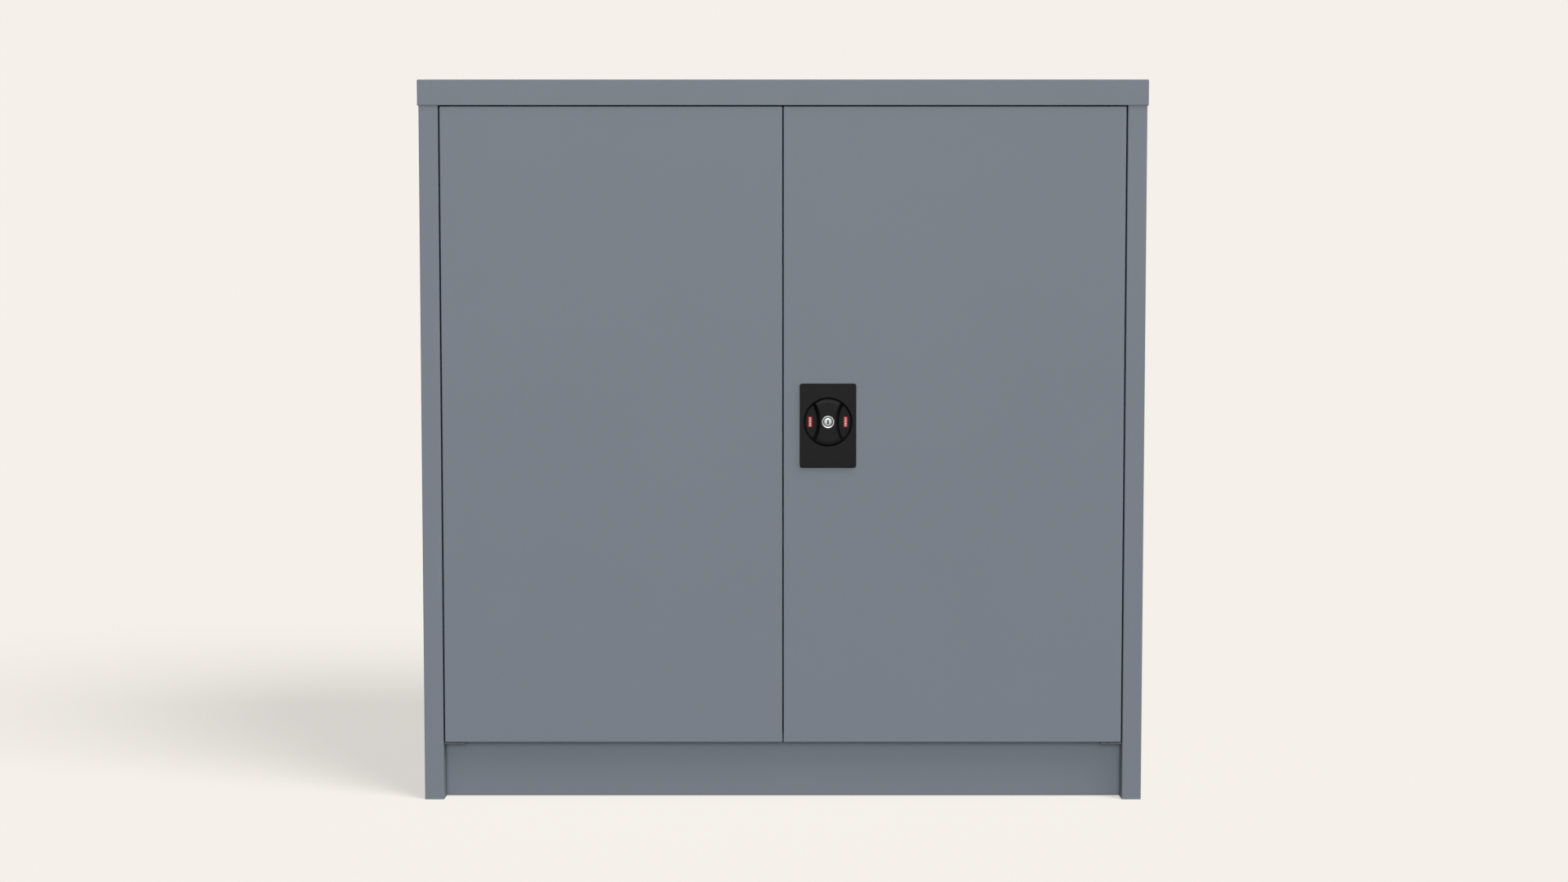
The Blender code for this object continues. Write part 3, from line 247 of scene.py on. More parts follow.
# Soft distant lamps: name, direction towards the lamp, strength, apparent size in degrees, and
# what it lights. The floor has its own lamp, so that the shadow on it stays single and soft.
LAMPS = (
    ("floor_light", (0.54, -0.45, 0.71), 4.6, 34, "floor"),
    ("key_light", (0.70, -0.25, 0.67), 1.2, 34, "object"),
    ("front_light", (0.0, -0.95, 0.30), 1.78, 30, "object"),
    ("side_light", (0.97, -0.12, 0.06), 0.8, 20, "object"),
    ("top_light", (0.0, -0.15, 0.985), 1.5, 50, "object"),
    ("back_light", (-0.45, 0.87, 0.20), 1.8, 60, "object"),
)


def linear(code):
    """sRGB hex to a linear colour with full alpha."""
    shares = [int(code[i:i + 2], 16) / 255 for i in (0, 2, 4)]
    values = [s / 12.92 if s <= 0.04045 else ((s + 0.055) / 1.055) ** 2.4 for s in shares]
    return (*values, 1.0)


def add_node(tree, kind, values=None, links=None, **settings):
    """Adds one node: settings are its properties, values its sockets, links what feeds them.

    A link names the socket that feeds it, or a node, whose first output is then meant.
    """
    node = tree.nodes.new(kind)
    for name, value in settings.items():
        setattr(node, name, value)
    for socket, value in (values or {}).items():
        node.inputs[socket].default_value = value
    for socket, source in (links or {}).items():
        if isinstance(source, bpy.types.Node):
            source = source.outputs[0]
        tree.links.new(source, node.inputs[socket])
    return node


def new_material(name):
    """An empty material and its node tree, kept under its name."""
    made = bpy.data.materials.new(name)
    made.use_nodes = True
    made.node_tree.nodes.clear()
    materials[name] = made
    return made.node_tree


def surface_output(tree, shader):
    add_node(tree, "ShaderNodeOutputMaterial", links={"Surface": shader})


def make_finish(name, tones, grain, gloss, relief=None, cloud=None, sockets=None):
    """Makes a finish whose gloss follows a fine noise.

    tones is one colour, or a deep and a light one, mixed by the same noise or by a broader cloud.
    grain and cloud are a size in metres and a detail, gloss is the range of the roughness, relief
    is a strength and a depth in metres, and sockets holds the shader's own constants.
    """
    tree = new_material(name)
    where = add_node(tree, "ShaderNodeTexCoord").outputs["Object"]
    fields = [add_node(tree, "ShaderNodeTexNoise", {"Scale": 1 / size, "Detail": detail},
                       {"Vector": where}) for size, detail in filter(None, (grain, cloud))]
    rough = add_node(tree, "ShaderNodeMapRange", {"To Min": gloss[0], "To Max": gloss[1]},
                     {"Value": fields[0]})
    values = dict(sockets or {})
    links = {"Roughness": rough}
    if len(tones) == 1:
        values["Base Color"] = linear(tones[0])
    else:
        tint = add_node(tree, "ShaderNodeMix", {"A": linear(tones[0]), "B": linear(tones[1])},
                        {"Factor": fields[-1]}, data_type="RGBA")
        links["Base Color"] = tint.outputs["Result"]
    if relief:
        bump = {"Strength": relief[0], "Distance": relief[1]}
        links["Normal"] = add_node(tree, "ShaderNodeBump", bump, {"Height": fields[0]})
    surface_output(tree, add_node(tree, "ShaderNodeBsdfPrincipled", values, links))


def make_label(look, word):
    """Red polycarbonate insert with a column of plain printed bars."""
    low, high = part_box("dial_label_" + word)
    half = (high - low) / 2
    tree = new_material("printed_insert_" + word)
    where = add_node(tree, "ShaderNodeTexCoord").outputs["Object"]
    centred = add_node(tree, "ShaderNodeMapping", {"Location": -(low + high) / 2},
                       {"Vector": where})
    apart = add_node(tree, "ShaderNodeSeparateXYZ", links={0: centred}).outputs
    within = []
    for axis, reach in (("X", half.x), ("Z", half.z)):
        off = add_node(tree, "ShaderNodeMath", None, {0: apart[axis]}, operation="ABSOLUTE")
        within.append(add_node(tree, "ShaderNodeMath", {1: reach - look.tick_margin}, {0: off},
                               operation="LESS_THAN"))
    phase = add_node(tree, "ShaderNodeMath", {1: look.tick_pitch / 2}, {0: apart["Z"]},
                     operation="PINGPONG")
    bars = add_node(tree, "ShaderNodeMath", {1: look.tick_share * look.tick_pitch / 2},
                    {0: phase}, operation="LESS_THAN")
    field = add_node(tree, "ShaderNodeMath", None, {0: within[0], 1: within[1]},
                     operation="MULTIPLY")
    ink = add_node(tree, "ShaderNodeMath", None, {0: field, 1: bars}, operation="MULTIPLY")
    tint = add_node(tree, "ShaderNodeMix", {"A": linear(look.label), "B": linear(look.tick)},
                    {"Factor": ink}, data_type="RGBA")
    shader = add_node(tree, "ShaderNodeBsdfPrincipled",
                      {"Roughness": 0.45, "IOR": 1.58, "Specular IOR Level": 0.15},
                      {"Base Color": tint.outputs["Result"]})
    surface_output(tree, shader)


def flat_box(node):
    """A node's lowest and highest corners in the lock's flat drawing."""
    low, high = (corner - dial_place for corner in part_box(node))
    return Vector((low.x, low.z, -high.y)), Vector((high.x, high.z, -low.y))


def add_box(bm, low, high):
    verts = bmesh.ops.create_cube(bm, size=1)["verts"]
    bmesh.ops.scale(bm, vec=Vector(high) - Vector(low), verts=verts)
    bmesh.ops.translate(bm, vec=(Vector(low) + Vector(high)) / 2, verts=verts)


def box_mesh(low, high):
    """A box between two corners, as a bmesh."""
    bm = bmesh.new()
    add_box(bm, low, high)
    return bm


def add_cone(bm, lower, upper, low, high, steps):
    """Adds a closed cone's stump along local Z between two heights; returns its vertices."""
    verts = bmesh.ops.create_cone(bm, cap_ends=True, segments=steps, radius1=lower,
                                  radius2=upper, depth=high - low)["verts"]
    bmesh.ops.translate(bm, vec=(0, 0, (low + high) / 2), verts=verts)
    return verts


def round_bar(radius, low, high, steps=48):
    """A closed cylinder along local Z, as a bmesh."""
    bm = bmesh.new()
    add_cone(bm, radius, radius, low, high, steps)
    return bm


def runs_along(edge, axis):
    start, end = edge.verts
    return abs((start.co - end.co).normalized()[axis]) > ALONG


def round_edges(bm, edges, radius, steps):
    bmesh.ops.bevel(bm, geom=edges, offset=radius, segments=steps, profile=0.5,
                    affect="EDGES", material=-1)


def rounded_block(low, high, end, corners, rim):
    """A block with rounded corners along Z and a rounded rim at one end's height.

    corners and rim are each a radius and its number of facets.
    """
    bm = box_mesh(low, high)
    round_edges(bm, [e for e in bm.edges if runs_along(e, Z)], *corners)
    edges = [e for e in bm.edges if all(abs(v.co.z - end) < MARGIN for v in e.verts)]
    round_edges(bm, edges, *rim)
    return bm


def extrude_edges(bm, edges):
    """Extrudes edges in place; returns the new vertices and the new open edges."""
    grown = bmesh.ops.extrude_edge_only(bm, edges=edges)["geom"]
    verts = [item for item in grown if isinstance(item, bmesh.types.BMVert)]
    rim = [item for item in grown if isinstance(item, bmesh.types.BMEdge) and item.is_boundary]
    return verts, rim


def close_up(bm):
    """Merges what touches and points every face outwards."""
    bmesh.ops.remove_doubles(bm, verts=bm.verts, dist=MERGE)
    bmesh.ops.recalc_face_normals(bm, faces=bm.faces)


def arc(across, height, radius, degrees, sign=1):
    """Points on a quarter round about a centre; a sign of -1 turns it to the other side."""
    turns = [math.radians(degree) for degree in degrees]
    return [(across + sign * radius * math.cos(turn), height + radius * math.sin(turn))
            for turn in turns]


def turned(profile, steps):
    """Turns (radius, height) points about local Z, as a closed bmesh.

    The profile starts and ends on the axis, or else its ends are joined.
    """
    bm = bmesh.new()
    verts = [bm.verts.new((radius, 0, height)) for radius, height in profile]
    edges = [bm.edges.new(pair) for pair in zip(verts, verts[1:])]
    if profile[0][0] > 0 and profile[-1][0] > 0:
        edges.append(bm.edges.new((verts[-1], verts[0])))
    bmesh.ops.spin(bm, geom=verts + edges, cent=(0, 0, 0), axis=(0, 0, 1), dvec=(0, 0, 0),
                   angle=math.tau, steps=steps, use_merge=True, use_duplicate=False)
    close_up(bm)
    return bm


def folded(corners, sweep, sheet):
    """A sheet folded along a path of outer corners and swept straight, as a bmesh."""
    bm = bmesh.new()
    verts = [bm.verts.new(corner) for corner in corners]
    edges = [bm.edges.new(pair) for pair in zip(verts, verts[1:])]
    swept, rim = extrude_edges(bm, edges)
    bmesh.ops.translate(bm, vec=sweep, verts=swept)
    bmesh.ops.recalc_face_normals(bm, faces=bm.faces)
    folds = [e for e in bm.edges if len(e.link_faces) == 2]
    round_edges(bm, folds, sheet.bend, sheet.bend_steps)
    return bm


def stand_at(bm, place):
    """Stands a piece that was drawn flat upright, with its origin at a place."""
    bmesh.ops.rotate(bm, cent=(0, 0, 0), matrix=Matrix.Rotation(math.radians(90), 3, "X"),
                     verts=bm.verts)
    bmesh.ops.translate(bm, vec=place, verts=bm.verts)


def new_object(name, bm):
    mesh = bpy.data.meshes.new(name)
    bm.to_mesh(mesh)
    bm.free()
    item = bpy.data.objects.new(name, mesh)
    bpy.context.scene.collection.objects.link(item)
    return item


def apply_modifiers(item):
    graph = bpy.context.evaluated_depsgraph_get()
    mesh = bpy.data.meshes.new_from_object(item.evaluated_get(graph))
    item.modifiers.clear()
    item.data = mesh


def combine(item, tool_mesh, operation="DIFFERENCE"):
    """Cuts a closed tool, given as a bmesh, out of a piece, or fuses it on."""
    tool = new_object("tool", tool_mesh)
    step = item.modifiers.new("combine", "BOOLEAN")
    step.operation = operation
    step.solver = "EXACT"
    step.object = tool
    apply_modifiers(item)
    bpy.data.objects.remove(tool)


def stand_object(item, place):
    """Stands a finished object that was drawn flat upright, with its origin at a place."""
    bm = bmesh.new()
    bm.from_mesh(item.data)
    stand_at(bm, place)
    bm.to_mesh(item.data)
    bm.free()


def give_thickness(item, thickness):
    step = item.modifiers.new("sheet", "SOLIDIFY")
    step.thickness = thickness
    step.offset = -1
    step.use_even_offset = True
    apply_modifiers(item)


def dress(item, body, slot_name, *nodes, finish=None, crease=CREASE):
    """Finishes a piece: smooth shading with crisp creases, its material, its body and its node."""
    item.data.materials.clear()
    item.data.materials.append(materials[finish or SLOT_FINISHES[slot_name]])
    item.data.shade_smooth()
    item.data.set_sharp_from_angle(angle=crease)
    weighted = item.modifiers.new("flat faces stay flat", "WEIGHTED_NORMAL")
    weighted.keep_sharp = True
    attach(item, body)
    if nodes:
        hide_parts(*nodes)


def shade_inside(item, radius, depth):
    """Gives the keyway's near-black colour, oiled metal darkened as painted shade, to faces of the lock that lie
    in its bore, below a depth.
    """
    item.data.materials.append(materials["keyway_painted_shade"])
    for face in item.data.polygons:
        offset = face.center - dial_place
        if math.hypot(offset.x, offset.z) < radius and -offset.y < depth:
            face.material_index = 1


class CABINET_OT_finishes(bpy.types.Operator):
    """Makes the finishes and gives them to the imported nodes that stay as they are."""

    bl_idname = "cabinet.finishes"
    bl_label = "Finishes"

    def execute(self, context):
        look = context.scene.cabinet_finish
        # Polyester powder coat, sprayed and baked: one even colour, a low sheen, a fine orange
        # peel. The real ripple is under a millimetre; it is drawn coarser so that it shows.
        make_finish("polyester_powder_coat", (look.coat_deep, look.coat), (look.peel, 2),
                    (0.50, 0.58), relief=(0.12, 0.02 * look.peel), cloud=(100 * look.peel, 3),
                    sockets={"IOR": 1.5, "Specular IOR Level": 0.3})
        # ABS moulded in a spark-eroded tool: deep grey-black with a fine matt grain.
        make_finish("moulded_abs", (look.moulding, look.moulding_light), (look.grain, 3),
                    (0.34, 0.46), relief=(0.2, 0.03 * look.grain), cloud=(20 * look.grain, 1),
                    sockets={"IOR": 1.53, "Specular IOR Level": 0.07})
        # Electroplated zinc on pressed steel: cool grey metal in soft, slightly duller patches.
        make_finish("bright_zinc_plate", (look.zinc_deep, look.zinc), (look.spangle, 4),
                    (0.26, 0.44), relief=(0.1, 0.01 * look.spangle), sockets={"Metallic": 1.0})
        # Phosphated steel: fine grey crystals, lightly oiled, dull in uneven patches, and darkened further as
        # painted shade where the hinges sit under the doors.
        make_finish("phosphate_and_painted_shade", (look.phosphate, look.phosphate_light),
                    (look.spangle, 3), (0.42, 0.58),
                    sockets={"IOR": 1.5, "Specular IOR Level": 0.3})
        plain = (
            # Decorative chrome on zinc: a bright mirror, faintly softened by polishing lines.
            ("polished_chrome", look.chrome, (0.24, 0.36), {"Metallic": 1.0}),
            # Oiled brass in the keyhole and the sleeve's bore, made almost black with painted shade, with a wet
            # gleam here and there.
            ("keyway_painted_shade", look.keyway, (0.4, 0.8), {"Specular IOR Level": 0.1}),
            # Natural nylon, injection moulded: milky white, with a waxy gloss.
            ("moulded_nylon", look.nylon, (0.38, 0.5), {"IOR": 1.53}),
            # Moulded rubber: black and matt, with a dry, slightly uneven skin.
            ("moulded_rubber", look.rubber, (0.7, 0.85), {"IOR": 1.52}),
        )
        for name, tone, gloss, sockets in plain:
            make_finish(name, (tone,), (look.grain, 2), gloss, sockets=sockets)
        for word in SIDES:
            make_label(look, word)
        for part in frame["record"]["subparts"]:
            node = frame["nodes"][part["node"]]
            # The hinges take the phosphate, whose darkness is partly painted shade under the doors.
            is_hinge = part["node"].startswith(("hinge_bracket", "hinge_pin"))
            finish = "phosphate_and_painted_shade" if is_hinge else SLOT_FINISHES[part["material_slot"]]
            node.data.materials.clear()
            node.data.materials.append(materials[finish])
        return {"FINISHED"}


class CABINET_OT_cap(bpy.types.Operator):
    """Builds the cap: a shallow tray with folded edges and ground corners."""

    bl_idname = "cabinet.cap"
    bl_label = "Cap"

    def execute(self, context):
        sheet = context.scene.cabinet_sheet
        bm = box_mesh(*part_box("top_cap"))
        under = min(bm.faces, key=lambda face: face.calc_center_median().z)
        bmesh.ops.delete(bm, geom=[under], context="FACES_ONLY")
        round_edges(bm, [e for e in bm.edges if not e.is_boundary], sheet.cap_bend,
                    sheet.bend_steps)
        cap = new_object("cap_tray", bm)
        give_thickness(cap, sheet.thickness)
        dress(cap, "cabinet", "steel", "top_cap")
        return {"FINISHED"}


class CABINET_OT_walls(bpy.types.Operator):
    """Builds the side walls, each folded into the front post and the rear flange."""

    bl_idname = "cabinet.walls"
    bl_label = "Side walls"

    def execute(self, context):
        sheet = context.scene.cabinet_sheet
        for word, sign in SIDES.items():
            node = word + "_side_panel"
            low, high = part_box(node)
            inner, outer = (high.x, low.x) if sign < 0 else (low.x, high.x)
            path = [
                (inner, low.y + sheet.post_return, low.z),
                (inner, low.y, low.z),
                (outer, low.y, low.z),
                (outer, high.y, low.z),
                (outer - sign * sheet.rear_flange, high.y, low.z),
            ]
            bm = folded(path, (0, 0, high.z - low.z), sheet)
            widest = max(bm.faces, key=lambda face: face.calc_area())
            if widest.normal.x * sign < 0:
                bmesh.ops.reverse_faces(bm, faces=bm.faces)
            wall = new_object(word + "_side_wall", bm)
            give_thickness(wall, sheet.thickness)
            dress(wall, "cabinet", "steel", node)
        return {"FINISHED"}


class CABINET_OT_doors(bpy.types.Operator):
    """Builds the doors: folded pans with inner flanges, drilled for their pins and the lock."""

    bl_idname = "cabinet.doors"
    bl_label = "Doors"

    def pan(self, node, sheet):
        """The outer skin: face, four returns and four inner flanges."""
        bm = box_mesh(*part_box(node))
        rear = max(bm.faces, key=lambda face: face.calc_center_median().y)
        inset = bmesh.ops.inset_region(bm, faces=[rear], thickness=sheet.door_flange)
        bmesh.ops.delete(bm, geom=[rear], context="FACES_ONLY")
        mitres = [e for face in inset["faces"] for e in face.edges
                  if not runs_along(e, X) and not runs_along(e, Z)]
        folds = [e for e in bm.edges if not e.is_boundary and e not in mitres]
        round_edges(bm, folds, sheet.bend, sheet.bend_steps)
        return new_object(node + "_pan", bm)

    def execute(self, context):
        sheet = context.scene.cabinet_sheet
        for word in SIDES:
            node = word + "_door"
            low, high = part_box(node)
            pan = self.pan(node, sheet)
            give_thickness(pan, sheet.thickness)
            pivot = joints[word + "_door_hinge"]["pos_m"]
            for z in (low.z, high.z):
                bore = round_bar(sheet.pivot_bore, -sheet.bend, sheet.bend)
                bmesh.ops.translate(bore, vec=(pivot[X], pivot[Y], z), verts=bore.verts)
                combine(pan, bore)
            if word == "right":
                opening = round_bar(sheet.lock_opening, -sheet.door_flange, sheet.bend, steps=96)
                stand_at(opening, dial_place)
                combine(pan, opening)
            dress(pan, word + "_door_leaf", "steel", node)
        return {"FINISHED"}


class CABINET_OT_welds(bpy.types.Operator):
    """Adds the faint marks of the spot welds on the doors' stiffeners and the back's edges."""

    bl_idname = "cabinet.welds"
    bl_label = "Spot welds"

    def row(self, bm, x, y, low_z, high_z, sheet):
        """A column of marks at one X, standing off the sheet towards the back."""
        run = high_z - low_z - 2 * sheet.weld_inset
        gaps = int(run / sheet.weld_pitch)
        for index in range(gaps + 1):
            mark = add_cone(bm, sheet.weld_radius, sheet.weld_top, 0, sheet.weld_rise, steps=20)
            bmesh.ops.rotate(bm, cent=(0, 0, 0), verts=mark,
                             matrix=Matrix.Rotation(math.radians(-90), 3, "X"))
            z = low_z + sheet.weld_inset + index * run / gaps
            bmesh.ops.translate(bm, vec=(x, y, z), verts=mark)

    def execute(self, context):
        sheet = context.scene.cabinet_sheet
        for word, sign in SIDES.items():
            low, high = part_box(word + "_door_stiffener")
            bm = bmesh.new()
            for x in (low.x + sheet.weld_inset, high.x - sheet.weld_inset):
                self.row(bm, x, low.y + sheet.thickness, low.z, high.z, sheet)
            dress(new_object(word + "_door_welds", bm), word + "_door_leaf", "steel")
            low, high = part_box(word + "_side_panel")
            outer = low.x if sign < 0 else high.x
            bm = bmesh.new()
            self.row(bm, outer - sign * sheet.rear_flange / 2, high.y, low.z,
                     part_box("top_cap")[0].z, sheet)
            dress(new_object(word + "_back_welds", bm), "cabinet", "steel")
        return {"FINISHED"}


class CABINET_OT_lock_plate(bpy.types.Operator):
    """Builds the moulded lock plate with its round cup."""

    bl_idname = "cabinet.lock_plate"
    bl_label = "Lock plate"

    def execute(self, context):
        lock = context.scene.cabinet_lock
        low, high = flat_box("lock_plate")
        face = high.z
        floor = low.z + lock.cup_floor
        plate = new_object("lock_plate_moulding", rounded_block(
            (low.x, low.y, lock.clearance), high, face,
            corners=(lock.plate_corner, 8), rim=(lock.plate_rim, 5)))
        cup = round_bar(lock.cup_radius, low.z, face / 2, lock.round_steps // 2)
        combine(plate, cup, "UNION")
        lip = lock.cup_bore + lock.mouth
        profile = [(0, floor), (lock.cup_bore, floor), (lock.cup_bore, face - lock.mouth)]
        profile += arc(lip, face - lock.mouth, lock.mouth, (30, 60), sign=-1)
        profile += [(lip, face), (lip, face + lock.cup_bore), (0, face + lock.cup_bore)]
        combine(plate, turned(profile, lock.round_steps))
        combine(plate, round_bar(lock.spindle + lock.spindle_gap, low.z - lock.cup_floor,
                                 floor + lock.cup_floor))
        stand_object(plate, dial_place)
        dress(plate, "right_door_leaf", "black_plastic", "lock_plate")
        return {"FINISHED"}


class CABINET_OT_dial(bpy.types.Operator):
    """Builds the turning dial: a disc with a waisted grip bar between two finger pockets."""

    bl_idname = "cabinet.dial"
    bl_label = "Dial and labels"

    def height(self, x, y, lock, top):
        """Height of the dial's face above the door's face at a point."""
        radius = math.hypot(x, y)
        scoop = min(abs(y) / lock.grip_scoop, 1)
        half_width = lock.grip_waist + lock.grip_scoop * (1 - math.sqrt(1 - scoop * scoop))
        run = (abs(x) - half_width) / lock.grip_flank
        fall = min(max(run, 0), 1)
        fall = fall * fall * (3 - 2 * fall)
        end = max((radius - self.radius + lock.grip_end_run) / lock.grip_end_run, 0)
        crown = top - lock.grip_dish * max(1 - abs(x) / half_width, 0)
        crown -= lock.grip_end_fall * end * end
        level = crown - (crown + lock.pocket_floor) * fall
        rim = (radius - self.radius + lock.dial_edge) / lock.dial_edge
        if rim > 0:
            level -= lock.dial_edge * (1 - math.sqrt(max(1 - rim * rim, 0)))
        return level

    def face(self, bm, lock, top):
        """Rings of faces from the sleeve's seat out to the rim, lifted to the dial's form."""
        inner = lock.sleeve_radius + lock.clearance
        bmesh.ops.create_circle(bm, segments=lock.round_steps, radius=inner)
        seat = bm.edges[:]
        edge = self.radius - lock.dial_edge
        radii = [inner + (edge - inner) * i / lock.rings for i in range(1, lock.rings + 1)]
        radii += [edge + lock.dial_edge * math.sin(math.radians(90 * i / lock.rim_rings))
                  for i in range(1, lock.rim_rings + 1)]
        rim = seat
        before = inner
        for radius in radii:
            verts, rim = extrude_edges(bm, rim)
            bmesh.ops.scale(bm, vec=(radius / before, radius / before, 1), verts=verts)
            before = radius
        for vert in bm.verts:
            vert.co.z = self.height(vert.co.x, vert.co.y, lock, top)
        return seat, rim

    def step_in(self, bm, edges, radius, was, level):
        """Extrudes a ring of edges straight to a level, then to another radius at that level."""
        verts, rim = extrude_edges(bm, edges)
        for vert in verts:
            vert.co.z = level
        bmesh.ops.scale(bm, vec=(radius / was, radius / was, 1), verts=verts)
        return rim

    def execute(self, context):
        lock = context.scene.cabinet_lock
        low, high = flat_box("dial")
        self.radius = high.x
        shoulder = flat_box("lock_cam")[1].z + lock.clearance
        sleeve_end = high.z - lock.sleeve_length - lock.clearance
        plug_end = flat_box("key_plug")[0].z - lock.clearance
        inner = lock.sleeve_radius + lock.clearance
        bore = lock.plug_radius + lock.plug_gap
        bm = bmesh.new()
        seat, rim = self.face(bm, lock, high.z)
        ring = self.step_in(bm, seat, inner, inner, sleeve_end)
        ring = self.step_in(bm, ring, bore, inner, sleeve_end)
        ring = self.step_in(bm, ring, bore, bore, plug_end)
        bmesh.ops.holes_fill(bm, edges=ring)
        ring = self.step_in(bm, rim, self.radius, self.radius, -lock.dial_back)
        ring = self.step_in(bm, ring, lock.spindle, self.radius, -lock.dial_back)
        ring = self.step_in(bm, ring, lock.spindle, lock.spindle, shoulder)
        bmesh.ops.holes_fill(bm, edges=ring)
        close_up(bm)
        half = lock.square / 2
        add_box(bm, (-half, -half, low.z), (half, half, shoulder))
        stand_at(bm, dial_place)
        dial = new_object("dial_moulding", bm)
        dress(dial, "dial_assembly", "black_plastic", "dial", crease=WIDE_CREASE)
        for word in SIDES:
            node = "dial_label_" + word
            bm = box_mesh(*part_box(node))
            round_edges(bm, [e for e in bm.edges if runs_along(e, Y)], lock.label_corner, steps=4)
            label = new_object(node + "_insert", bm)
            dress(label, "dial_assembly", "red_label", node, finish="printed_insert_" + word)
        return {"FINISHED"}


class CABINET_OT_key_cylinder(bpy.types.Operator):
    """Builds the chromed sleeve and the key plug with its keyhole."""

    bl_idname = "cabinet.key_cylinder"
    bl_label = "Key cylinder"

    def execute(self, context):
        lock = context.scene.cabinet_lock
        low, high = flat_box("key_sleeve")
        bore = lock.plug_radius + lock.plug_gap
        wall = lock.sleeve_radius - bore
        lip = [(bore + across * wall, high.z - down * lock.sleeve_fall)
               for across, down in SLEEVE_LIP]
        sleeve = turned([(lock.sleeve_radius, low.z), *lip, (bore, low.z)], steps=96)
        stand_at(sleeve, dial_place)
        ring = new_object("chromed_sleeve", sleeve)
        dress(ring, "dial_assembly", "chrome", "key_sleeve", crease=WIDE_CREASE)
        # The faces deep in the sleeve's bore take the keyway's painted shade.
        shade_inside(ring, bore + MARGIN, lip[-1][1])
        low, high = flat_box("key_plug")
        face = high.z
        plug_end = low.z + lock.tail_length
        edge = [(lock.plug_radius - inwards * lock.plug_edge, face - down * lock.plug_edge)
                for inwards, down in PLUG_EDGE]
        plug = new_object("key_plug_face", turned([
            (0, face), *edge, (lock.plug_radius, plug_end), (lock.tail_radius, plug_end),
            (lock.tail_radius, low.z), (0, low.z)], steps=96))
        half_width = lock.keyhole_width / 2
        half_height = lock.keyhole_height / 2
        inside = face - lock.keyhole_depth
        outside = face + lock.keyhole_depth
        combine(plug, box_mesh((-half_width, -half_height, inside),
                               (half_width, half_height, outside)))
        for side in (-1, 1):
            # A hair deeper than the slot, because cuts that end in one plane vary from run to run.
            end = round_bar(lock.keyhole_end, inside - MERGE, outside, steps=24)
            bmesh.ops.translate(end, vec=(0, side * (half_height - lock.keyhole_end), 0),
                                verts=end.verts)
            combine(plug, end)
        stand_object(plug, dial_place)
        dress(plug, "key_cylinder", "chrome", "key_plug")
        # The keyhole's inner faces take the keyway's painted shade.
        shade_inside(plug, half_height + MARGIN, face - lock.plug_edge)
        return {"FINISHED"}


class CABINET_OT_rod_guides(bpy.types.Operator):
    """Builds the nylon guides in which the locking rods slide."""

    bl_idname = "cabinet.rod_guides"
    bl_label = "Rod guides"

    def execute(self, context):
        small = context.scene.cabinet_fittings
        half = small.rod_width / 2 + small.rod_gap
        for word in ("upper", "lower"):
            node = word + "_rod_guide"
            low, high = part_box(node)
            rod_low, rod_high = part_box(word + "_rod")
            bm = box_mesh(low, high)
            round_edges(bm, bm.edges[:], small.guide_corner, steps=3)
            guide = new_object(node + "_moulding", bm)
            middle = (low.x + high.x) / 2
            combine(guide, box_mesh(
                (middle - half, rod_low.y - small.rod_gap, low.z - small.rod_width),
                (middle + half, rod_high.y + small.rod_gap, high.z + small.rod_width)))
            dress(guide, "right_door_leaf", "nylon", node)
        return {"FINISHED"}


class CABINET_OT_lock_case(bpy.types.Operator):
    """Builds the plated case behind the lock's cup, with its rivets, and the cam's screw."""

    bl_idname = "cabinet.lock_case"
    bl_label = "Lock case and screw"

    def execute(self, context):
        small = context.scene.cabinet_fittings
        lock = context.scene.cabinet_lock
        low, high = flat_box("lock_case")
        back = low.z
        case = new_object("lock_case_pressing", rounded_block(
            low, high, back, corners=(small.case_corner, 6), rim=(small.case_edge, 3)))
        combine(case, round_bar(lock.spindle + lock.spindle_gap, back - small.case_corner,
                                high.z + small.case_corner, lock.round_steps // 2))
        stand_object(case, dial_place)
        dress(case, "right_door_leaf", "zinc", "lock_case")
        rivets = bmesh.new()
        for x in (low.x + small.rivet_inset, high.x - small.rivet_inset):
            for y in (low.y + small.rivet_inset, high.y - small.rivet_inset):
                head = add_cone(rivets, small.rivet_top, small.rivet_radius,
                                back - small.rivet_rise, back, steps=32)
                bmesh.ops.translate(rivets, vec=(x, y, 0), verts=head)
        stand_at(rivets, dial_place)
        dress(new_object("lock_case_rivets", rivets), "right_door_leaf", "zinc")
        low, high = flat_box("cam_screw")
        radius = high.x
        under = low.z + small.screw_head
        head = [(out * radius, under - down * small.screw_head) for out, down in SCREW_HEAD]
        screw = new_object("cam_screw_head", turned([
            (0, high.z), (small.screw_shank, high.z), (small.screw_shank, under), *head,
            (0, low.z)], steps=48))
        half = small.recess_width / 2
        reach = head[-1][0]
        for across, along in ((half, reach), (reach, half)):
            combine(screw, box_mesh((-across, -along, low.z - small.recess_depth),
                                    (across, along, low.z + small.recess_depth)))
        stand_object(screw, dial_place)
        dress(screw, "dial_assembly", "zinc", "cam_screw")
        return {"FINISHED"}


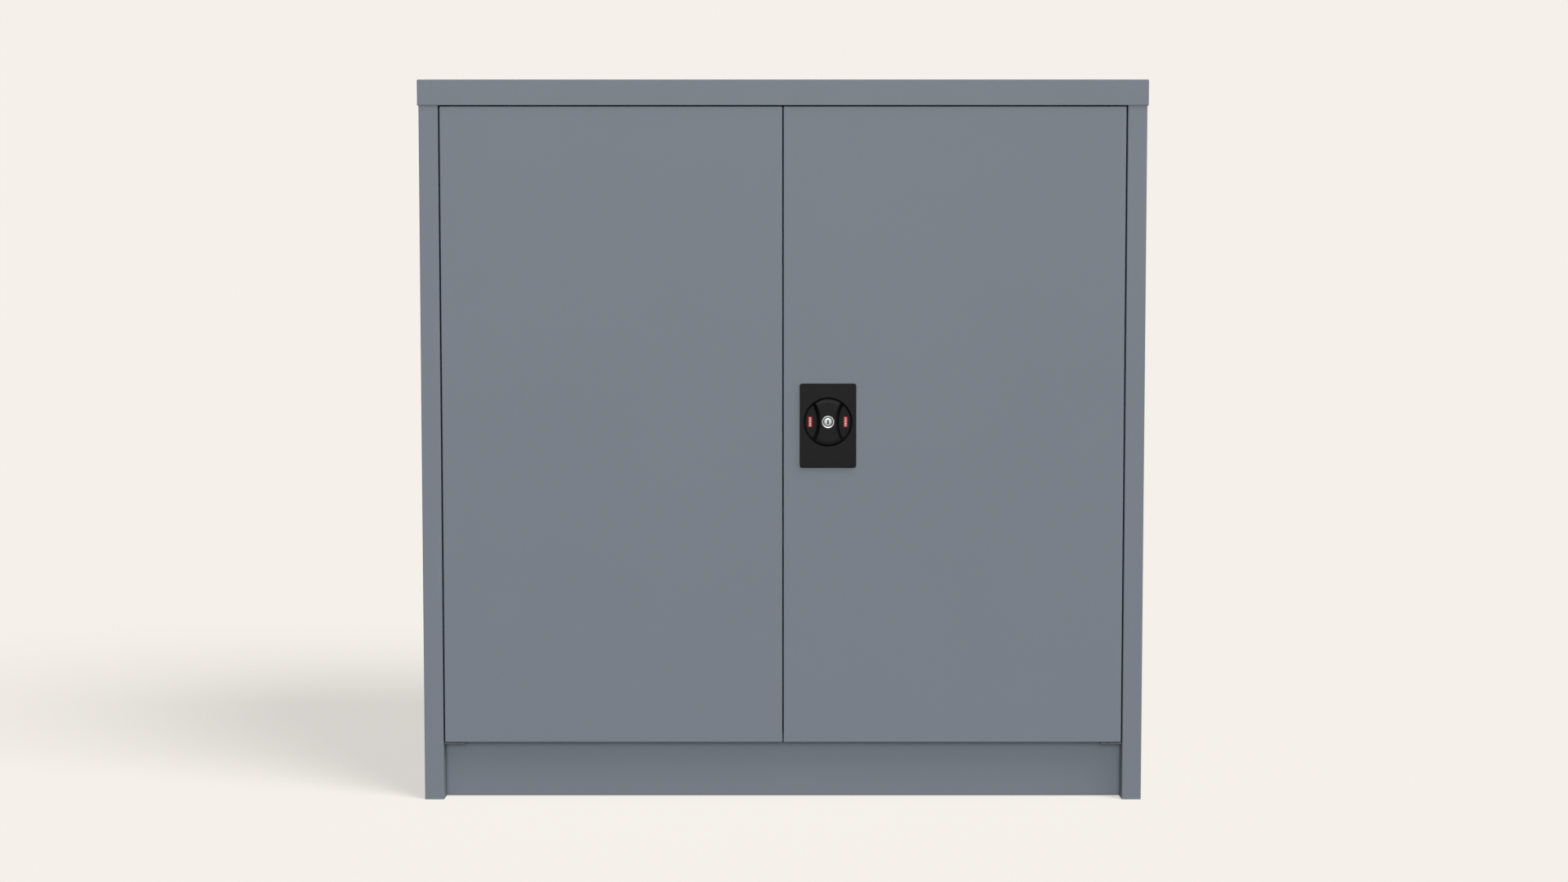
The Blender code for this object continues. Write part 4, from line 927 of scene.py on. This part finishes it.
class CABINET_OT_feet(bpy.types.Operator):
    """Builds the levelling feet: pad, hexagon and threaded stud."""

    bl_idname = "cabinet.feet"
    bl_label = "Levelling feet"

    def foot(self, node, small):
        low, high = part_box(node)
        middle = (low + high) / 2
        pad = high.x - middle.x
        nut_low = low.z + small.pad_height
        nut_high = nut_low + small.foot_nut_height
        root = small.stud_radius - small.thread_depth
        profile = [(0, low.z), (pad - small.thread_depth, low.z), (pad, low.z + small.thread_depth)]
        profile += arc(pad - small.pad_neck, nut_low - small.pad_neck, small.pad_neck,
                       (0, 30, 60, 90))
        profile.append((root, nut_low))
        for ring in range(int((high.z - nut_high) / small.thread_pitch) - 1):
            z = nut_high + (ring + 0.5) * small.thread_pitch
            profile += [(root, z), (small.stud_radius, z + small.thread_pitch / 2)]
        profile += [(root, high.z - small.thread_depth), (root - small.thread_depth, high.z),
                    (0, high.z)]
        bm = turned(profile, steps=48)
        nut = add_cone(bm, small.foot_nut, small.foot_nut, nut_low, nut_high, steps=6)
        rims = dict.fromkeys(e for v in nut for e in v.link_edges if not runs_along(e, Z))
        round_edges(bm, list(rims), small.thread_depth, steps=2)
        bmesh.ops.translate(bm, vec=(middle.x, middle.y, 0), verts=bm.verts)
        close_up(bm)
        return new_object(node + "_turning", bm)

    def execute(self, context):
        small = context.scene.cabinet_fittings
        for word in ("front_left", "front_right", "rear_left", "rear_right"):
            node = "levelling_foot_" + word
            dress(self.foot(node, small), "foot_" + word, "zinc", node)
        return {"FINISHED"}


class CABINET_OT_buffers(bpy.types.Operator):
    """Builds the domed rubber buffers on the stops."""

    bl_idname = "cabinet.buffers"
    bl_label = "Door buffers"

    def execute(self, context):
        small = context.scene.cabinet_fittings
        dome = small.buffer_dome
        for word in ("top_left", "top_right", "bottom_left", "bottom_right"):
            node = "door_buffer_" + word
            low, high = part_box(node)
            middle = (low + high) / 2
            radius = high.x - middle.x
            depth = high.y - low.y
            edge = arc(radius - dome, depth - dome, dome, (0, 22, 45, 67, 90))
            bm = turned([(0, 0), (radius, 0), *edge, (0, depth)], steps=48)
            stand_at(bm, (middle.x, high.y, middle.z))
            dress(new_object(node + "_dome", bm), "cabinet", "rubber", node)
        return {"FINISHED"}


class CABINET_OT_studio(bpy.types.Operator):
    """Makes the pale floor, the soft light and the camera."""

    bl_idname = "cabinet.studio"
    bl_label = "Studio"

    def open_level(self, studio):
        """How brightly the lamps and the surroundings light the open floor, 1 being white."""
        from_above = sum(strength * Vector(way).normalized().z
                         for name, way, strength, degrees, reach in LAMPS if reach == "floor")
        return studio.ambient + from_above / math.pi

    def floor_material(self, studio):
        """Matt pale floor; the camera sees part of its shading over the plain background colour."""
        tree = new_material("studio_floor")
        pale = linear(studio.background)
        # Divided by its own level, the open floor has the background's colour under these lamps.
        level = self.open_level(studio)
        matt = add_node(tree, "ShaderNodeBsdfDiffuse",
                        {"Color": [c / level for c in pale[:3]] + [1.0]})
        dim = add_node(tree, "ShaderNodeBsdfDiffuse",
                       {"Color": [c * studio.bounce for c in pale[:3]] + [1.0]})
        plain = add_node(tree, "ShaderNodeEmission", {"Color": pale, "Strength": 1.0})
        seen = add_node(tree, "ShaderNodeMixShader", {"Fac": studio.shadow_share},
                        {1: plain, 2: matt})
        surface_output(tree, self.by_sight(tree, dim, seen))
        return materials["studio_floor"]

    def by_sight(self, tree, unseen, seen):
        """Mixes in what the camera sees, for rays straight from it or through gloss or glass."""
        path = add_node(tree, "ShaderNodeLightPath").outputs
        shown = path["Is Camera Ray"]
        for ray in ("Is Glossy Ray", "Is Transmission Ray"):
            shown = add_node(tree, "ShaderNodeMath", None, {0: shown, 1: path[ray]},
                             operation="MAXIMUM").outputs[0]
        return add_node(tree, "ShaderNodeMixShader", None, {"Fac": shown, 1: unseen, 2: seen})

    def world(self, studio):
        """Even surroundings: dim as a light, and the plain background where they are seen."""
        made = bpy.data.worlds.new("studio_surroundings")
        made.use_nodes = True
        tree = made.node_tree
        tree.nodes.clear()
        light = add_node(tree, "ShaderNodeBackground",
                         {"Color": (1, 1, 1, 1), "Strength": studio.ambient})
        plain = add_node(tree, "ShaderNodeBackground",
                         {"Color": linear(studio.background), "Strength": 1.0})
        add_node(tree, "ShaderNodeOutputWorld", None,
                 {"Surface": self.by_sight(tree, light, plain)})
        bpy.context.scene.world = made

    def lamp(self, name, way, strength, degrees, reach, floor):
        """A distant lamp, seen under an angle: the wider it is, the softer its shadows."""
        data = bpy.data.lights.new(name, "SUN")
        data.energy = strength
        data.angle = math.radians(degrees)
        item = bpy.data.objects.new(name, data)
        bpy.context.scene.collection.objects.link(item)
        item.rotation_euler = Vector(way).to_track_quat("Z", "Y").to_euler()
        lit = bpy.data.collections.new(name + "_reach")
        lit.objects.link(floor)
        lit.collection_objects[0].light_linking.link_state = (
            "INCLUDE" if reach == "floor" else "EXCLUDE")
        item.light_linking.receiver_collection = lit

    def execute(self, context):
        studio = context.scene.cabinet_studio
        bm = bmesh.new()
        bmesh.ops.create_grid(bm, x_segments=1, y_segments=1, size=studio.floor_size / 2)
        floor = new_object("studio_floor", bm)
        floor.data.materials.append(self.floor_material(studio))
        self.world(studio)
        for lamp in LAMPS:
            self.lamp(*lamp, floor)
        lens = bpy.data.cameras.new("camera")
        lens.lens = studio.lens
        camera = bpy.data.objects.new("camera", lens)
        context.scene.collection.objects.link(camera)
        camera.location = studio.camera_place
        camera.rotation_euler = (studio.camera_pitch, 0, 0)
        context.scene.camera = camera
        context.scene.view_settings.view_transform = "Standard"
        return {"FINISHED"}


BUILD_STEPS = (
    CABINET_OT_finishes,
    CABINET_OT_cap,
    CABINET_OT_walls,
    CABINET_OT_doors,
    CABINET_OT_welds,
    CABINET_OT_lock_plate,
    CABINET_OT_dial,
    CABINET_OT_key_cylinder,
    CABINET_OT_rod_guides,
    CABINET_OT_lock_case,
    CABINET_OT_feet,
    CABINET_OT_buffers,
    CABINET_OT_studio,
)


class CABINET_PT_dressing(bpy.types.Panel):
    """Lists the settings and the building steps in the 3D view's sidebar."""

    bl_idname = "CABINET_PT_dressing"
    bl_label = "Steel Cupboard"
    bl_space_type = "VIEW_3D"
    bl_region_type = "UI"
    bl_category = "Cupboard"

    def draw(self, context):
        for label, attribute, group in SETTINGS:
            box = self.layout.box()
            box.label(text=label)
            for name in group.__annotations__:
                box.prop(getattr(context.scene, attribute), name)
        for step in BUILD_STEPS:
            self.layout.operator(step.bl_idname)


SETTINGS = (
    ("Sheet metal", "cabinet_sheet", SheetSettings),
    ("Lock", "cabinet_lock", LockSettings),
    ("Fittings", "cabinet_fittings", FittingSettings),
    ("Finishes", "cabinet_finish", FinishSettings),
    ("Studio", "cabinet_studio", StudioSettings),
)


def register():
    for label, attribute, group in SETTINGS:
        bpy.utils.register_class(group)
        setattr(bpy.types.Scene, attribute, PointerProperty(type=group))
    for step in BUILD_STEPS:
        bpy.utils.register_class(step)
    bpy.utils.register_class(CABINET_PT_dressing)


def unregister():
    bpy.utils.unregister_class(CABINET_PT_dressing)
    for step in reversed(BUILD_STEPS):
        bpy.utils.unregister_class(step)
    for label, attribute, group in reversed(SETTINGS):
        delattr(bpy.types.Scene, attribute)
        bpy.utils.unregister_class(group)


def main():
    register()
    bpy.ops.cabinet.finishes()
    bpy.ops.cabinet.cap()
    bpy.ops.cabinet.walls()
    bpy.ops.cabinet.doors()
    bpy.ops.cabinet.welds()
    bpy.ops.cabinet.lock_plate()
    bpy.ops.cabinet.dial()
    bpy.ops.cabinet.key_cylinder()
    bpy.ops.cabinet.rod_guides()
    bpy.ops.cabinet.lock_case()
    bpy.ops.cabinet.feet()
    bpy.ops.cabinet.buffers()
    bpy.ops.cabinet.studio()


if __name__ == "__main__":
    main()
